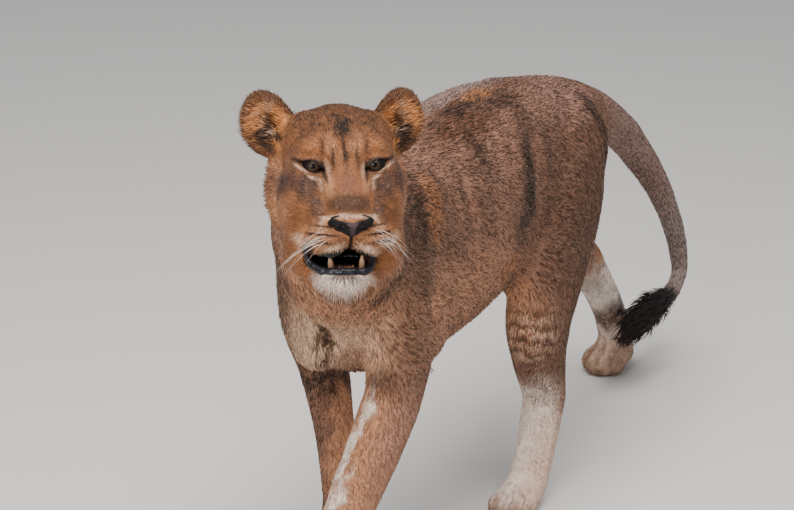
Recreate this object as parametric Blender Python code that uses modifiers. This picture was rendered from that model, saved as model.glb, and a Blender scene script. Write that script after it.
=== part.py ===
# Lioness, life size, walking toward -Y with the head turned to the left.
# Metres, +Z up.  Her left side is +X.  The soles stand on z = 0.
import math

import bmesh
import bpy
from mathutils import Euler, Matrix, Vector

# ---------------------------------------------------------------- driving sizes
VOXEL = 0.0065
GAP = 0.0003
CUT = 0.0004
EYE_RADIUS = 0.0185
HEAD_ORIGIN = Vector((0.199, -0.772, 1.010))
HEAD_YAW = math.radians(35.6)
HEAD_PITCH = math.radians(-15.2)
HEAD_SCALE = 1.019
TRIANGLES = {"body": 2750, "head": 1550}

# Trunk stations: y, top, bottom, half width.
TRUNK = [
    (-0.590, 0.725, 0.615, 0.030),
    (-0.545, 0.790, 0.555, 0.062),
    (-0.460, 0.875, 0.505, 0.108),
    (-0.350, 0.922, 0.478, 0.145),
    (-0.200, 0.933, 0.458, 0.163),
    (-0.050, 0.943, 0.463, 0.168),
    (0.100, 0.960, 0.487, 0.160),
    (0.250, 0.948, 0.520, 0.142),
    (0.380, 0.928, 0.555, 0.135),
    (0.500, 0.905, 0.600, 0.130),
    (0.600, 0.880, 0.645, 0.108),
    (0.670, 0.855, 0.690, 0.078),
    (0.715, 0.832, 0.730, 0.045),
]

# Tail stations: x, y, z, radius.
TAIL = [
    (0.000, 0.620, 0.800, 0.060),
    (0.000, 0.710, 0.776, 0.055),
    (0.000, 0.820, 0.724, 0.051),
    (0.000, 0.942, 0.652, 0.046),
    (0.000, 1.115, 0.514, 0.037),
    (0.000, 1.246, 0.368, 0.031),
    (0.000, 1.303, 0.257, 0.027),
    (0.000, 1.303, 0.212, 0.024),
    (0.000, 1.268, 0.186, 0.024),
    (0.000, 1.212, 0.180, 0.032),
    (0.000, 1.140, 0.176, 0.041),
    (0.000, 1.065, 0.166, 0.042),
    (0.000, 1.005, 0.156, 0.034),
    (0.000, 0.970, 0.148, 0.018),
]

# Legs: stations x, y, z, half width, half depth; depth lies fore and aft.
LEGS = {
    "foreleg_left": [
        (0.095, -0.300, 0.800, 0.050, 0.110),
        (0.114, -0.370, 0.680, 0.056, 0.118),
        (0.125, -0.395, 0.570, 0.056, 0.104),
        (0.121, -0.408, 0.485, 0.054, 0.084),
        (0.106, -0.444, 0.400, 0.056, 0.070),
        (0.085, -0.482, 0.310, 0.053, 0.060),
        (0.068, -0.523, 0.225, 0.048, 0.052),
        (0.059, -0.553, 0.160, 0.045, 0.046),
        (0.053, -0.586, 0.095, 0.042, 0.042),
        (0.052, -0.612, 0.045, 0.043, 0.044),
    ],
    "foreleg_right": [
        (-0.095, -0.290, 0.800, 0.050, 0.110),
        (-0.104, -0.322, 0.680, 0.052, 0.112),
        (-0.117, -0.312, 0.570, 0.051, 0.098),
        (-0.111, -0.290, 0.485, 0.050, 0.074),
        (-0.094, -0.288, 0.400, 0.046, 0.058),
        (-0.075, -0.295, 0.310, 0.042, 0.048),
        (-0.061, -0.305, 0.225, 0.038, 0.042),
        (-0.057, -0.308, 0.160, 0.038, 0.041),
        (-0.057, -0.322, 0.095, 0.040, 0.040),
        (-0.059, -0.345, 0.045, 0.041, 0.042),
    ],
    "hindleg_left": [
        (0.075, 0.460, 0.800, 0.052, 0.135),
        (0.098, 0.410, 0.700, 0.060, 0.165),
        (0.108, 0.350, 0.600, 0.060, 0.154),
        (0.113, 0.284, 0.515, 0.065, 0.138),
        (0.111, 0.257, 0.440, 0.065, 0.120),
        (0.106, 0.270, 0.360, 0.056, 0.094),
        (0.102, 0.297, 0.290, 0.049, 0.074),
        (0.099, 0.316, 0.240, 0.046, 0.067),
        (0.097, 0.308, 0.190, 0.045, 0.060),
        (0.096, 0.287, 0.125, 0.044, 0.053),
        (0.096, 0.260, 0.070, 0.045, 0.050),
        (0.097, 0.240, 0.045, 0.045, 0.044),
    ],
    "hindleg_right": [
        (-0.075, 0.500, 0.800, 0.052, 0.120),
        (-0.098, 0.520, 0.700, 0.060, 0.145),
        (-0.112, 0.550, 0.600, 0.059, 0.140),
        (-0.118, 0.620, 0.520, 0.056, 0.112),
        (-0.112, 0.715, 0.465, 0.049, 0.084),
        (-0.106, 0.812, 0.410, 0.047, 0.076),
        (-0.099, 0.897, 0.363, 0.043, 0.068),
        (-0.097, 0.959, 0.318, 0.041, 0.060),
        (-0.098, 1.038, 0.243, 0.040, 0.050),
        (-0.102, 1.109, 0.165, 0.040, 0.046),
        (-0.105, 1.158, 0.095, 0.043, 0.046),
        (-0.106, 1.170, 0.050, 0.041, 0.038),
    ],
}

# Paws: ball centre x, y, the turn of the toes in degrees, size.
PAWS = {
    "foreleg_left": (0.051, -0.642, 4.0, 1.10),
    "foreleg_right": (-0.061, -0.374, -4.0, 1.10),
    "hindleg_left": (0.097, 0.203, 4.0, 1.08),
    "hindleg_right": (-0.107, 1.148, -3.0, 1.14),
}

# Middles of the mouth parts in the head's own frame.
NOSE = (0.0, -0.203, -0.077)
EYE = (0.0515, -0.1045, 0.020)
JAW_SHIFT = -0.007
CANINE = (0.0245, -0.176, -0.140)
TONGUE = (-0.005, -0.130, -0.152)

# The parted pieces of the flesh and a point near the middle of each.
PIECES = {
    "neck": (0.080, -0.570, 0.850),
    "trunk": (0.000, 0.050, 0.720),
    "tail_upper": (0.000, 0.830, 0.730),
    "tail_middle": (0.000, 1.060, 0.560),
    "tail_lower": (0.000, 1.270, 0.280),
    "tail_tuft": (0.000, 1.120, 0.165),
    "foreleg_left_upper": (0.130, -0.390, 0.500),
    "foreleg_left_forearm": (0.085, -0.485, 0.300),
    "foreleg_left_paw": (0.053, -0.612, 0.070),
    "foreleg_right_upper": (-0.120, -0.310, 0.500),
    "foreleg_right_forearm": (-0.085, -0.300, 0.300),
    "foreleg_right_paw": (-0.075, -0.345, 0.070),
    "hindleg_left_thigh": (0.113, 0.320, 0.500),
    "hindleg_left_shank": (0.108, 0.310, 0.290),
    "hindleg_left_foot": (0.098, 0.240, 0.060),
    "hindleg_right_thigh": (-0.115, 0.600, 0.540),
    "hindleg_right_shank": (-0.103, 0.880, 0.380),
    "hindleg_right_foot": (-0.104, 1.140, 0.090),
}

# Cuts across a tail or leg: middle, way along, half size.
CROSS_CUTS = {
    "tail_root": ((0.0, 0.742, 0.775), (0.0, 0.88, -0.48), 0.085),
    "tail_one": ((0.0, 0.950, 0.647), (0.0, 0.76, -0.65), 0.075),
    "tail_two": ((0.0, 1.180, 0.435), (0.0, 0.67, -0.74), 0.065),
    "tail_end": ((0.0, 1.262, 0.175), (0.0, -0.96, -0.28), 0.050),
    "left_elbow": ((0.114, -0.420, 0.418), (-0.18, -0.48, -0.86), 0.085),
    "left_wrist": ((0.059, -0.553, 0.160), (-0.10, -0.46, -0.88), 0.070),
    "right_elbow": ((-0.103, -0.288, 0.418), (0.18, 0.00, -0.98), 0.085),
    "right_wrist": ((-0.057, -0.308, 0.160), (0.00, -0.12, -0.99), 0.060),
    "left_knee": ((0.108, 0.265, 0.400), (-0.05, 0.10, -0.99), 0.130),
    "left_hock": ((0.097, 0.302, 0.165), (-0.03, -0.38, -0.92), 0.078),
    "right_knee": ((-0.109, 0.760, 0.444), (0.06, 0.90, -0.42), 0.110),
    "right_hock": ((-0.100, 1.062, 0.220), (-0.04, 0.66, -0.75), 0.060),
}

# Cuts given by three corners of a thin slab.
CORNER_CUTS = {
    "left_shoulder": ((0.020, -0.600, 0.425), (0.020, -0.180, 0.425), (0.220, -0.600, 0.615)),
    "right_shoulder": ((-0.020, -0.540, 0.425), (-0.020, -0.140, 0.425), (-0.220, -0.540, 0.615)),
    "left_hip": ((0.000, 0.080, 0.430), (0.000, 0.640, 0.595), (0.220, 0.080, 0.600)),
    "right_hip": ((0.000, 0.150, 0.450), (0.000, 0.820, 0.628), (-0.220, 0.150, 0.632)),
}

COLLECTION = "lioness"
CUTTERS = "cutters"


def head_matrix():
    turn = Matrix.Rotation(HEAD_YAW, 4, "Z") @ Matrix.Rotation(HEAD_PITCH, 4, "X")
    return Matrix.Translation(HEAD_ORIGIN) @ turn @ Matrix.Scale(HEAD_SCALE, 4)


HEAD = head_matrix()


def clear():
    for thing in list(bpy.data.objects):
        bpy.data.objects.remove(thing, do_unlink=True)
    for mesh in list(bpy.data.meshes):
        bpy.data.meshes.remove(mesh)


def new_collection(name):
    made = bpy.data.collections.new(name)
    bpy.context.scene.collection.children.link(made)
    return made


def new_object(name, bm, collection):
    mesh = bpy.data.meshes.new(name)
    bm.to_mesh(mesh)
    bm.free()
    made = bpy.data.objects.new(name, mesh)
    collection.objects.link(made)
    return made


# ---------------------------------------------------------------- rounded masses
def add_mass(bm, centre, radii, turn=(0.0, 0.0, 0.0), place=None, rings=14):
    """Adds one ellipsoid; turn is in degrees."""
    angles = [math.radians(value) for value in turn]
    matrix = Matrix.Translation(Vector(centre)) @ Euler(angles).to_matrix().to_4x4()
    matrix = matrix @ Matrix.Diagonal((radii[0], radii[1], radii[2], 1.0))
    if place is not None:
        matrix = place @ matrix
    bmesh.ops.create_uvsphere(bm, u_segments=rings * 2, v_segments=rings, radius=1.0, matrix=matrix)


def add_pair(bm, centre, radii, turn=(0.0, 0.0, 0.0), place=None):
    add_mass(bm, centre, radii, turn, place)
    mirrored = (-centre[0], centre[1], centre[2])
    add_mass(bm, mirrored, radii, (turn[0], -turn[1], -turn[2]), place)


def spline(values, t):
    """Catmull-Rom through rows of numbers, t from 0 to len - 1."""
    last = len(values) - 1
    i = min(int(t), last - 1)
    u = t - i
    rows = [values[max(i - 1, 0)], values[i], values[i + 1], values[min(i + 2, last)]]
    out = []
    for a, b, c, d in zip(*rows):
        first = 2.0 * b + (c - a) * u
        second = (2.0 * a - 5.0 * b + 4.0 * c - d) * u * u
        third = (3.0 * b - a - 3.0 * c + d) * u * u * u
        out.append(0.5 * (first + second + third))
    return out


def add_tube(bm, stations, side=Vector((1.0, 0.0, 0.0)), steps=4, around=24):
    """Adds a closed tube through rows of x, y, z, half width, half depth."""
    count = (len(stations) - 1) * steps + 1
    rows = [spline(stations, i / steps) for i in range(count)]
    rings = []
    for i, row in enumerate(rows):
        here = Vector(row[:3])
        before = Vector(rows[max(i - 1, 0)][:3])
        after = Vector(rows[min(i + 1, count - 1)][:3])
        along = (after - before).normalized()
        across = (side - along * side.dot(along)).normalized()
        deep = along.cross(across)
        ring = []
        for k in range(around):
            angle = 2.0 * math.pi * k / around
            point = here + across * (math.cos(angle) * row[3]) + deep * (math.sin(angle) * row[4])
            ring.append(bm.verts.new(point))
        rings.append(ring)
    for low, high in zip(rings[:-1], rings[1:]):
        for k in range(around):
            after = (k + 1) % around
            bm.faces.new((low[k], low[after], high[after], high[k]))
    bm.faces.new(list(reversed(rings[0])))
    bm.faces.new(rings[-1])


def add_trunk(bm):
    stations = []
    for y, top, bottom, width in TRUNK:
        stations.append((0.0, y, 0.5 * (top + bottom), width, 0.5 * (top - bottom)))
    add_tube(bm, stations, around=32)


def add_shoulders(bm):
    add_pair(bm, (0.078, -0.290, 0.760), (0.064, 0.120, 0.140), (18.0, 10.0, 0.0))
    add_mass(bm, (0.100, -0.400, 0.670), (0.056, 0.095, 0.115), (-20.0, 0.0, 0.0))
    add_mass(bm, (-0.086, -0.370, 0.670), (0.050, 0.078, 0.110), (-20.0, 0.0, 0.0))
    add_mass(bm, (0.122, -0.300, 0.610), (0.052, 0.110, 0.110), (25.0, 0.0, 0.0))
    add_mass(bm, (-0.116, -0.300, 0.610), (0.049, 0.110, 0.110), (25.0, 0.0, 0.0))
    add_mass(bm, (0.010, -0.495, 0.640), (0.070, 0.072, 0.110), (-20.0, 0.0, 0.0))


def add_haunches(bm):
    add_pair(bm, (0.080, 0.450, 0.740), (0.070, 0.150, 0.135), (15.0, 0.0, 0.0))
    add_pair(bm, (0.052, 0.540, 0.710), (0.052, 0.080, 0.120))
    add_mass(bm, (0.085, 0.205, 0.560), (0.042, 0.120, 0.055), (-28.0, 0.0, 10.0))
    add_mass(bm, (-0.085, 0.360, 0.570), (0.042, 0.170, 0.050), (-12.0, 0.0, -8.0))


def add_neck(bm):
    middle = HEAD @ Vector((0.0, 0.030, -0.050))
    stations = [
        (0.000, -0.260, 0.730, 0.140, 0.200),
        (0.012, -0.400, 0.755, 0.140, 0.195),
        (0.056, -0.510, 0.805, 0.124, 0.180),
        (0.100, -0.605, 0.870, 0.121, 0.165),
        (0.142, -0.680, 0.925, 0.115, 0.150),
        (middle.x, middle.y, middle.z, 0.106, 0.128),
    ]
    add_tube(bm, stations, side=Vector((0.90, 0.42, 0.0)))


def add_paw(bm, x, y, turn, size):
    place = Matrix.Translation(Vector((x, y, 0.0))) @ Matrix.Rotation(math.radians(turn), 4, "Z")
    place = place @ Matrix.Scale(size, 4)
    add_mass(bm, (0.0, 0.010, 0.036), (0.047, 0.052, 0.040), place=place)
    add_mass(bm, (0.0, -0.020, 0.030), (0.048, 0.045, 0.034), place=place)
    spread = [(-0.036, -0.040, 9.0), (-0.013, -0.060, 3.0), (0.013, -0.060, -3.0), (0.036, -0.040, -9.0)]
    for tx, ty, angle in spread:
        add_mass(bm, (tx, ty, 0.023), (0.0165, 0.030, 0.027), (0.0, 0.0, angle), place=place, rings=10)


def add_head(bm):
    masses = [
        ((0.0, 0.000, 0.030), (0.096, 0.110, 0.098), (0.0, 0.0, 0.0)),
        ((0.0, -0.062, 0.040), (0.082, 0.056, 0.062), (25.0, 0.0, 0.0)),
        ((0.0, -0.176, -0.080), (0.037, 0.034, 0.030), (0.0, 0.0, 0.0)),
        ((-0.007, -0.152, -0.168), (0.055, 0.046, 0.040), (0.0, 0.0, 0.0)),
        ((-0.004, -0.090, -0.155), (0.066, 0.090, 0.050), (-10.0, 0.0, 0.0)),
        ((0.0, 0.010, -0.100), (0.100, 0.095, 0.090), (0.0, 0.0, 0.0)),
    ]
    for centre, radii, turn in masses:
        add_mass(bm, centre, radii, turn, HEAD)
    pairs = [
        ((0.046, 0.010, 0.056), (0.052, 0.075, 0.062), (0.0, 0.0, 0.0)),
        ((0.084, 0.046, 0.046), (0.032, 0.038, 0.044), (0.0, 0.0, 0.0)),
        ((0.036, -0.118, -0.058), (0.036, 0.046, 0.042), (0.0, 0.0, 0.0)),
        ((0.052, -0.020, -0.042), (0.057, 0.092, 0.086), (0.0, 0.0, 8.0)),
        ((0.084, 0.042, -0.020), (0.041, 0.046, 0.078), (0.0, 0.0, 0.0)),
        ((0.067, -0.055, -0.006), (0.036, 0.058, 0.040), (0.0, 0.0, 12.0)),
        ((0.046, -0.078, 0.052), (0.040, 0.038, 0.026), (0.0, 10.0, 10.0)),
        ((0.055, -0.078, 0.008), (0.044, 0.040, 0.052), (0.0, 0.0, 0.0)),
        ((0.054, -0.088, -0.036), (0.044, 0.052, 0.044), (0.0, 0.0, 0.0)),
        ((0.030, -0.115, -0.025), (0.030, 0.040, 0.040), (38.0, 0.0, 0.0)),
        ((0.036, -0.156, -0.102), (0.041, 0.048, 0.036), (0.0, 8.0, 0.0)),
        ((0.055, -0.060, -0.112), (0.047, 0.080, 0.058), (0.0, 0.0, 10.0)),
    ]
    for centre, radii, turn in pairs:
        add_pair(bm, centre, radii, turn, HEAD)
    bridge = [
        (0.0, -0.040, 0.080, 0.056, 0.040),
        (0.0, -0.092, 0.030, 0.042, 0.036),
        (0.0, -0.140, -0.022, 0.036, 0.032),
        (0.0, -0.178, -0.062, 0.036, 0.028),
    ]
    muzzle = [
        (0.0, -0.040, -0.080, 0.092, 0.075),
        (0.0, -0.110, -0.086, 0.076, 0.060),
        (0.0, -0.160, -0.092, 0.064, 0.048),
        (0.0, -0.190, -0.096, 0.050, 0.036),
    ]
    for stations in (bridge, muzzle):
        placed = []
        for x, y, z, wide, deep in stations:
            point = HEAD @ Vector((x, y, z))
            placed.append((point.x, point.y, point.z, wide * HEAD_SCALE, deep * HEAD_SCALE))
        across = HEAD.to_3x3() @ Vector((1.0, 0.0, 0.0))
        add_tube(bm, placed, side=across.normalized())


# ---------------------------------------------------------------- ears
def ear_matrix(sign):
    across = 0.101 if sign > 0.0 else -0.107
    place = Matrix.Translation(Vector((across, 0.040, 0.082)))
    place = place @ Matrix.Rotation(sign * math.radians(30.0), 4, "Y")
    place = place @ Matrix.Rotation(sign * math.radians(22.0), 4, "Z")
    return HEAD @ place @ Matrix.Rotation(math.radians(-8.0), 4, "X")


def make_ear(name, sign, collection):
    """A cup: a flattened ball whose front is pushed in, thickest at the base."""
    bm = bmesh.new()
    bmesh.ops.create_icosphere(bm, subdivisions=3, radius=1.0)
    for vert in bm.verts:
        x, y, z = vert.co
        spread = x * x + z * z
        if y < 0.0:
            hollow = max(0.0, 1.0 - (x * x / 0.62 + (z - 0.08) * (z - 0.08) / 0.60))
            y = y * (1.0 - 0.55 * spread) + 1.15 * hollow * hollow
            y = min(y, 0.45)
        curl = 0.35 * x * x
        vert.co = Vector((x * 0.0515 * (1.0 - 0.10 * z), (y - curl) * 0.024, z * 0.063 + 0.010))
    bm.transform(ear_matrix(sign))
    bmesh.ops.recalc_face_normals(bm, faces=bm.faces)
    return new_object(name, bm, collection)


def grown_copy(thing, collection, distance):
    """The same shape, every corner moved out along its normal."""
    bm = bmesh.new()
    bm.from_mesh(thing.data)
    bm.normal_update()
    moves = [(vert, vert.normal.copy()) for vert in bm.verts]
    for vert, normal in moves:
        vert.co += normal * distance
    return new_object("cut_" + thing.name, bm, collection)


# ---------------------------------------------------------------- modifiers
def apply_modifier(thing, kind, **settings):
    modifier = thing.modifiers.new(kind.lower(), kind)
    for key, value in settings.items():
        setattr(modifier, key, value)
    graph = bpy.context.evaluated_depsgraph_get()
    mesh = bpy.data.meshes.new_from_object(thing.evaluated_get(graph))
    old = thing.data
    thing.modifiers.clear()
    thing.data = mesh
    bpy.data.meshes.remove(old)


def carve(thing, cutter):
    apply_modifier(thing, "BOOLEAN", operation="DIFFERENCE", solver="EXACT", object=cutter)


def weights(thing, name, measure):
    group = thing.vertex_groups.new(name=name)
    for vert in thing.data.vertices:
        group.add([vert.index], measure(vert.co), "REPLACE")


def headness(point):
    local = HEAD.inverted() @ Vector(point)
    return 1.0 if local.y < 0.06 and local.length < 0.30 else 0.0


def fleshiness(point):
    """Full on the trunk and neck, little on the lower legs and the tail."""
    if headness(point) > 0.5:
        return 0.0
    high = min(1.0, max(0.0, (point[2] - 0.42) / 0.10))
    fore = min(1.0, max(0.0, (0.72 - point[1]) / 0.08))
    return 0.08 + 0.92 * high * fore


def triangle_count(thing):
    thing.data.calc_loop_triangles()
    return len(thing.data.loop_triangles)


def make_whole(collection):
    bm = bmesh.new()
    add_trunk(bm)
    add_shoulders(bm)
    add_haunches(bm)
    add_neck(bm)
    add_head(bm)
    add_tube(bm, [(x, y, z, r, r) for x, y, z, r in TAIL], around=20)
    for name, stations in LEGS.items():
        add_tube(bm, stations)
        x, y, turn, size = PAWS[name]
        add_paw(bm, x, y, turn, size)
    bmesh.ops.recalc_face_normals(bm, faces=bm.faces)
    whole = new_object("whole", bm, collection)
    apply_modifier(whole, "REMESH", mode="VOXEL", voxel_size=VOXEL)
    apply_modifier(whole, "SMOOTH", factor=0.5, iterations=11)
    weights(whole, "fleshy", fleshiness)
    apply_modifier(whole, "SMOOTH", factor=0.5, iterations=60, vertex_group="fleshy")
    whole.vertex_groups.clear()
    return whole


def flatten_soles(whole):
    bm = bmesh.new()
    bm.from_mesh(whole.data)
    geometry = bm.verts[:] + bm.edges[:] + bm.faces[:]
    bmesh.ops.bisect_plane(
        bm, geom=geometry, dist=1e-6, plane_co=(0.0, 0.0, 0.0), plane_no=(0.0, 0.0, -1.0), clear_outer=True
    )
    bmesh.ops.holes_fill(bm, edges=[edge for edge in bm.edges if edge.is_boundary], sides=0)
    bmesh.ops.triangulate(bm, faces=bm.faces)
    bm.to_mesh(whole.data)
    bm.free()


def thin_out(whole, keep):
    """Decimates the body, then the head, to the wanted triangle counts."""
    for name in keep:
        share = 1.0 if name == "head" else 0.0
        weights(whole, name, lambda p: 1.0 - abs(share - headness(p)))
        total = triangle_count(whole)
        vertices = whole.data.vertices
        inside = 0
        for triangle in whole.data.loop_triangles:
            inside += 1 if abs(share - headness(vertices[triangle.vertices[0]].co)) < 0.5 else 0
        wanted = total - inside + keep[name]
        apply_modifier(
            whole,
            "DECIMATE",
            ratio=wanted / total,
            vertex_group=name,
            vertex_group_factor=1000.0,
            use_collapse_triangulate=True,
        )
        whole.vertex_groups.clear()
        print("thinned", name, inside, triangle_count(whole))


def add_box(bm, corner, side_one, side_two, thickness):
    """A thin slab on a parallelogram."""
    normal = side_one.cross(side_two).normalized() * (0.5 * thickness)
    flat = [corner, corner + side_one, corner + side_one + side_two, corner + side_two]
    low = [bm.verts.new(point - normal) for point in flat]
    high = [bm.verts.new(point + normal) for point in flat]
    bm.faces.new(list(reversed(low)))
    bm.faces.new(high)
    for k in range(4):
        after = (k + 1) % 4
        bm.faces.new((low[k], low[after], high[after], high[k]))


def make_cutter(name, bm, collection):
    cutter = new_object("cut_" + name, bm, collection)
    cutter.hide_render = True
    cutter.display_type = "WIRE"
    return cutter


def part_slabs(collection):
    """Every slab that parts one named length from the next."""
    slabs = []
    for name, (middle, along, half) in CROSS_CUTS.items():
        along = Vector(along).normalized()
        one = along.orthogonal().normalized() * (2.0 * half)
        two = along.cross(one.normalized()) * (2.0 * half)
        slabs.append((name, Vector(middle) - 0.5 * one - 0.5 * two, one, two))
    for name, corners in CORNER_CUTS.items():
        first, second, third = [Vector(corner) for corner in corners]
        slabs.append((name, first, second - first, third - first))
    across = HEAD.to_3x3() @ Vector((0.40, 0.0, 0.0))
    start = HEAD @ Vector((-0.20, 0.110, 0.200))
    end = HEAD @ Vector((-0.20, 0.020, -0.280))
    slabs.append(("head_neck", start, across, end - start))
    start = HEAD @ Vector((-0.20, -0.150, -0.134))
    end = HEAD @ Vector((-0.20, -0.015, -0.250))
    slabs.append(("jaw", start, across, end - start))
    across = Vector((0.500, 0.110, 0.010))
    start = Vector((-0.220, -0.310, 1.000))
    end = Vector((-0.250, -0.680, 0.520))
    slabs.append(("neck_trunk", start, across, end - start))
    made = []
    for name, corner, one, two in slabs:
        bm = bmesh.new()
        add_box(bm, corner, one, two, CUT)
        made.append(make_cutter(name, bm, collection))
    return made


def rounded(name, collection, centre, radii, turn=(0.0, 0.0, 0.0), rings=7):
    bm = bmesh.new()
    add_mass(bm, centre, radii, turn, HEAD, rings)
    bmesh.ops.recalc_face_normals(bm, faces=bm.faces)
    return new_object(name, bm, collection)


def make_nose(name, collection):
    """The leather: wide above, narrowing to the groove of the lip."""
    thing = rounded(name, collection, (0.0, 0.0, 0.0), (1.0, 1.0, 1.0), rings=8)
    inverse = HEAD.inverted()
    for vert in thing.data.vertices:
        x, y, z = inverse @ vert.co
        narrow = 0.72 + 0.28 * z if z > -0.2 else 0.664 + 0.75 * (z + 0.2)
        wide = 0.038 * max(narrow, 0.12) / 0.90
        point = Vector((x * wide, y * 0.019, z * 0.020))
        vert.co = HEAD @ (point + Vector(NOSE))
    return thing


def make_mouth_cut(collection):
    bm = bmesh.new()
    add_mass(bm, (-0.003, -0.148, -0.137), (0.062, 0.078, 0.019), (4.0, 0.0, 0.0), HEAD, 7)
    cutter = make_cutter("mouth", bm, collection)
    bm = bmesh.new()
    for sign in (1.0, -1.0):
        add_mass(bm, (sign * 0.056 - 0.003, -0.150, -0.133), (0.020, 0.034, 0.021), place=HEAD, rings=5)
    corners = make_cutter("mouth_corners", bm, collection)
    return [cutter, corners]


def part_pieces(whole, collection):
    """Separates the cut solid and names each piece after the nearest point."""
    named = dict((name, Vector(point)) for name, point in PIECES.items())
    named["head"] = HEAD @ Vector((0.0, -0.020, -0.020))
    named["lower_jaw"] = HEAD @ Vector((0.0, -0.130, -0.175))
    source = bmesh.new()
    source.from_mesh(whole.data)
    source.verts.ensure_lookup_table()
    label = [-1] * len(source.verts)
    islands = []
    for seed in source.verts:
        if label[seed.index] >= 0:
            continue
        stack = [seed]
        label[seed.index] = len(islands)
        members = []
        while stack:
            vert = stack.pop()
            members.append(vert.index)
            for edge in vert.link_edges:
                other = edge.other_vert(vert)
                if label[other.index] < 0:
                    label[other.index] = len(islands)
                    stack.append(other)
        islands.append(members)
    source.free()
    made = {}
    for number, members in enumerate(islands):
        inside = set(members)
        bm = bmesh.new()
        bm.from_mesh(whole.data)
        bm.verts.ensure_lookup_table()
        strangers = [vert for vert in bm.verts if vert.index not in inside]
        bmesh.ops.delete(bm, geom=strangers, context="VERTS")
        volume = bm.calc_volume()
        middle = Vector((0.0, 0.0, 0.0))
        for vert in bm.verts:
            middle += vert.co / len(bm.verts)
        nearest = min(named, key=lambda name: (named[name] - middle).length)
        print("piece", nearest, len(bm.verts), round(volume * 1e6, 2), [round(v, 3) for v in middle])
        if volume < 1e-6:
            bm.free()
            continue
        if nearest in made:
            raise RuntimeError("two pieces for " + nearest)
        made[nearest] = new_object(nearest, bm, collection)
    bpy.data.objects.remove(whole, do_unlink=True)
    return made


def paint(thing, colour, roughness):
    material = bpy.data.materials.new(thing.name)
    material.use_nodes = True
    shader = material.node_tree.nodes["Principled BSDF"]
    shader.inputs["Base Color"].default_value = (colour[0], colour[1], colour[2], 1.0)
    shader.inputs["Roughness"].default_value = roughness
    thing.data.materials.clear()
    thing.data.materials.append(material)
    for face in thing.data.polygons:
        face.use_smooth = True


COLOURS = {
    "eye": ((0.060, 0.035, 0.018), 0.15),
    "nose": ((0.030, 0.024, 0.024), 0.45),
    "tongue": ((0.300, 0.110, 0.100), 0.40),
    "canine": ((0.700, 0.600, 0.420), 0.35),
    "ear": ((0.300, 0.150, 0.060), 0.85),
    "tail_tuft": ((0.012, 0.010, 0.010), 0.80),
    "head": ((0.330, 0.180, 0.090), 0.85),
    "lower_jaw": ((0.560, 0.440, 0.330), 0.85),
    "neck": ((0.280, 0.150, 0.075), 0.85),
    "foreleg": ((0.320, 0.180, 0.090), 0.85),
    "hindleg": ((0.310, 0.190, 0.110), 0.85),
    "tail": ((0.160, 0.105, 0.070), 0.85),
    "trunk": ((0.190, 0.115, 0.065), 0.85),
}


def centre_on_floor(things):
    """Moves the model so the middle of its box lies over the origin."""
    corners = [vert.co for thing in things for vert in thing.data.vertices]
    across = 0.5 * (min(point.x for point in corners) + max(point.x for point in corners))
    along = 0.5 * (min(point.y for point in corners) + max(point.y for point in corners))
    for thing in things:
        thing.data.transform(Matrix.Translation((-across, -along, 0.0)))
    print("moved by", round(-across, 5), round(-along, 5))


def main():
    clear()
    shape = new_collection(COLLECTION)
    cutters = new_collection(CUTTERS)
    whole = make_whole(shape)
    thin_out(whole, TRIANGLES)
    flatten_soles(whole)
    print("whole", triangle_count(whole))
    for cutter in make_mouth_cut(cutters):
        carve(whole, cutter)
    fitted = []
    for name, sign in (("left", 1.0), ("right", -1.0)):
        centre = (sign * EYE[0], EYE[1], EYE[2])
        radii = (EYE_RADIUS, EYE_RADIUS, EYE_RADIUS)
        fitted.append(rounded("eye_" + name, shape, centre, radii))
        ear = make_ear("ear_" + name, sign, shape)
        apply_modifier(ear, "DECIMATE", ratio=0.75, use_collapse_triangulate=True)
        fitted.append(ear)
        centre = (JAW_SHIFT + sign * CANINE[0], CANINE[1], CANINE[2])
        fitted.append(rounded("canine_" + name, shape, centre, (0.0060, 0.0065, 0.0150), rings=5))
    fitted.append(make_nose("nose", shape))
    fitted.append(rounded("tongue", shape, TONGUE, (0.024, 0.045, 0.0085), (6.0, 0.0, 0.0), 6))
    for thing in fitted:
        cutter = grown_copy(thing, cutters, 2.0 * GAP)
        cutter.hide_render = True
        cutter.display_type = "WIRE"
        carve(whole, cutter)
    for cutter in part_slabs(cutters):
        carve(whole, cutter)
    part_pieces(whole, shape)
    centre_on_floor(shape.objects[:])
    total = 0
    for thing in shape.objects:
        key = next(word for word in COLOURS if thing.name.startswith(word))
        paint(thing, *COLOURS[key])
        total += triangle_count(thing)
        print(thing.name, triangle_count(thing))
    print("objects", len(shape.objects), "triangles", total)


main()
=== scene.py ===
import math

import bmesh
import bpy
import numpy as np
from mathutils import Matrix, Vector


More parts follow.
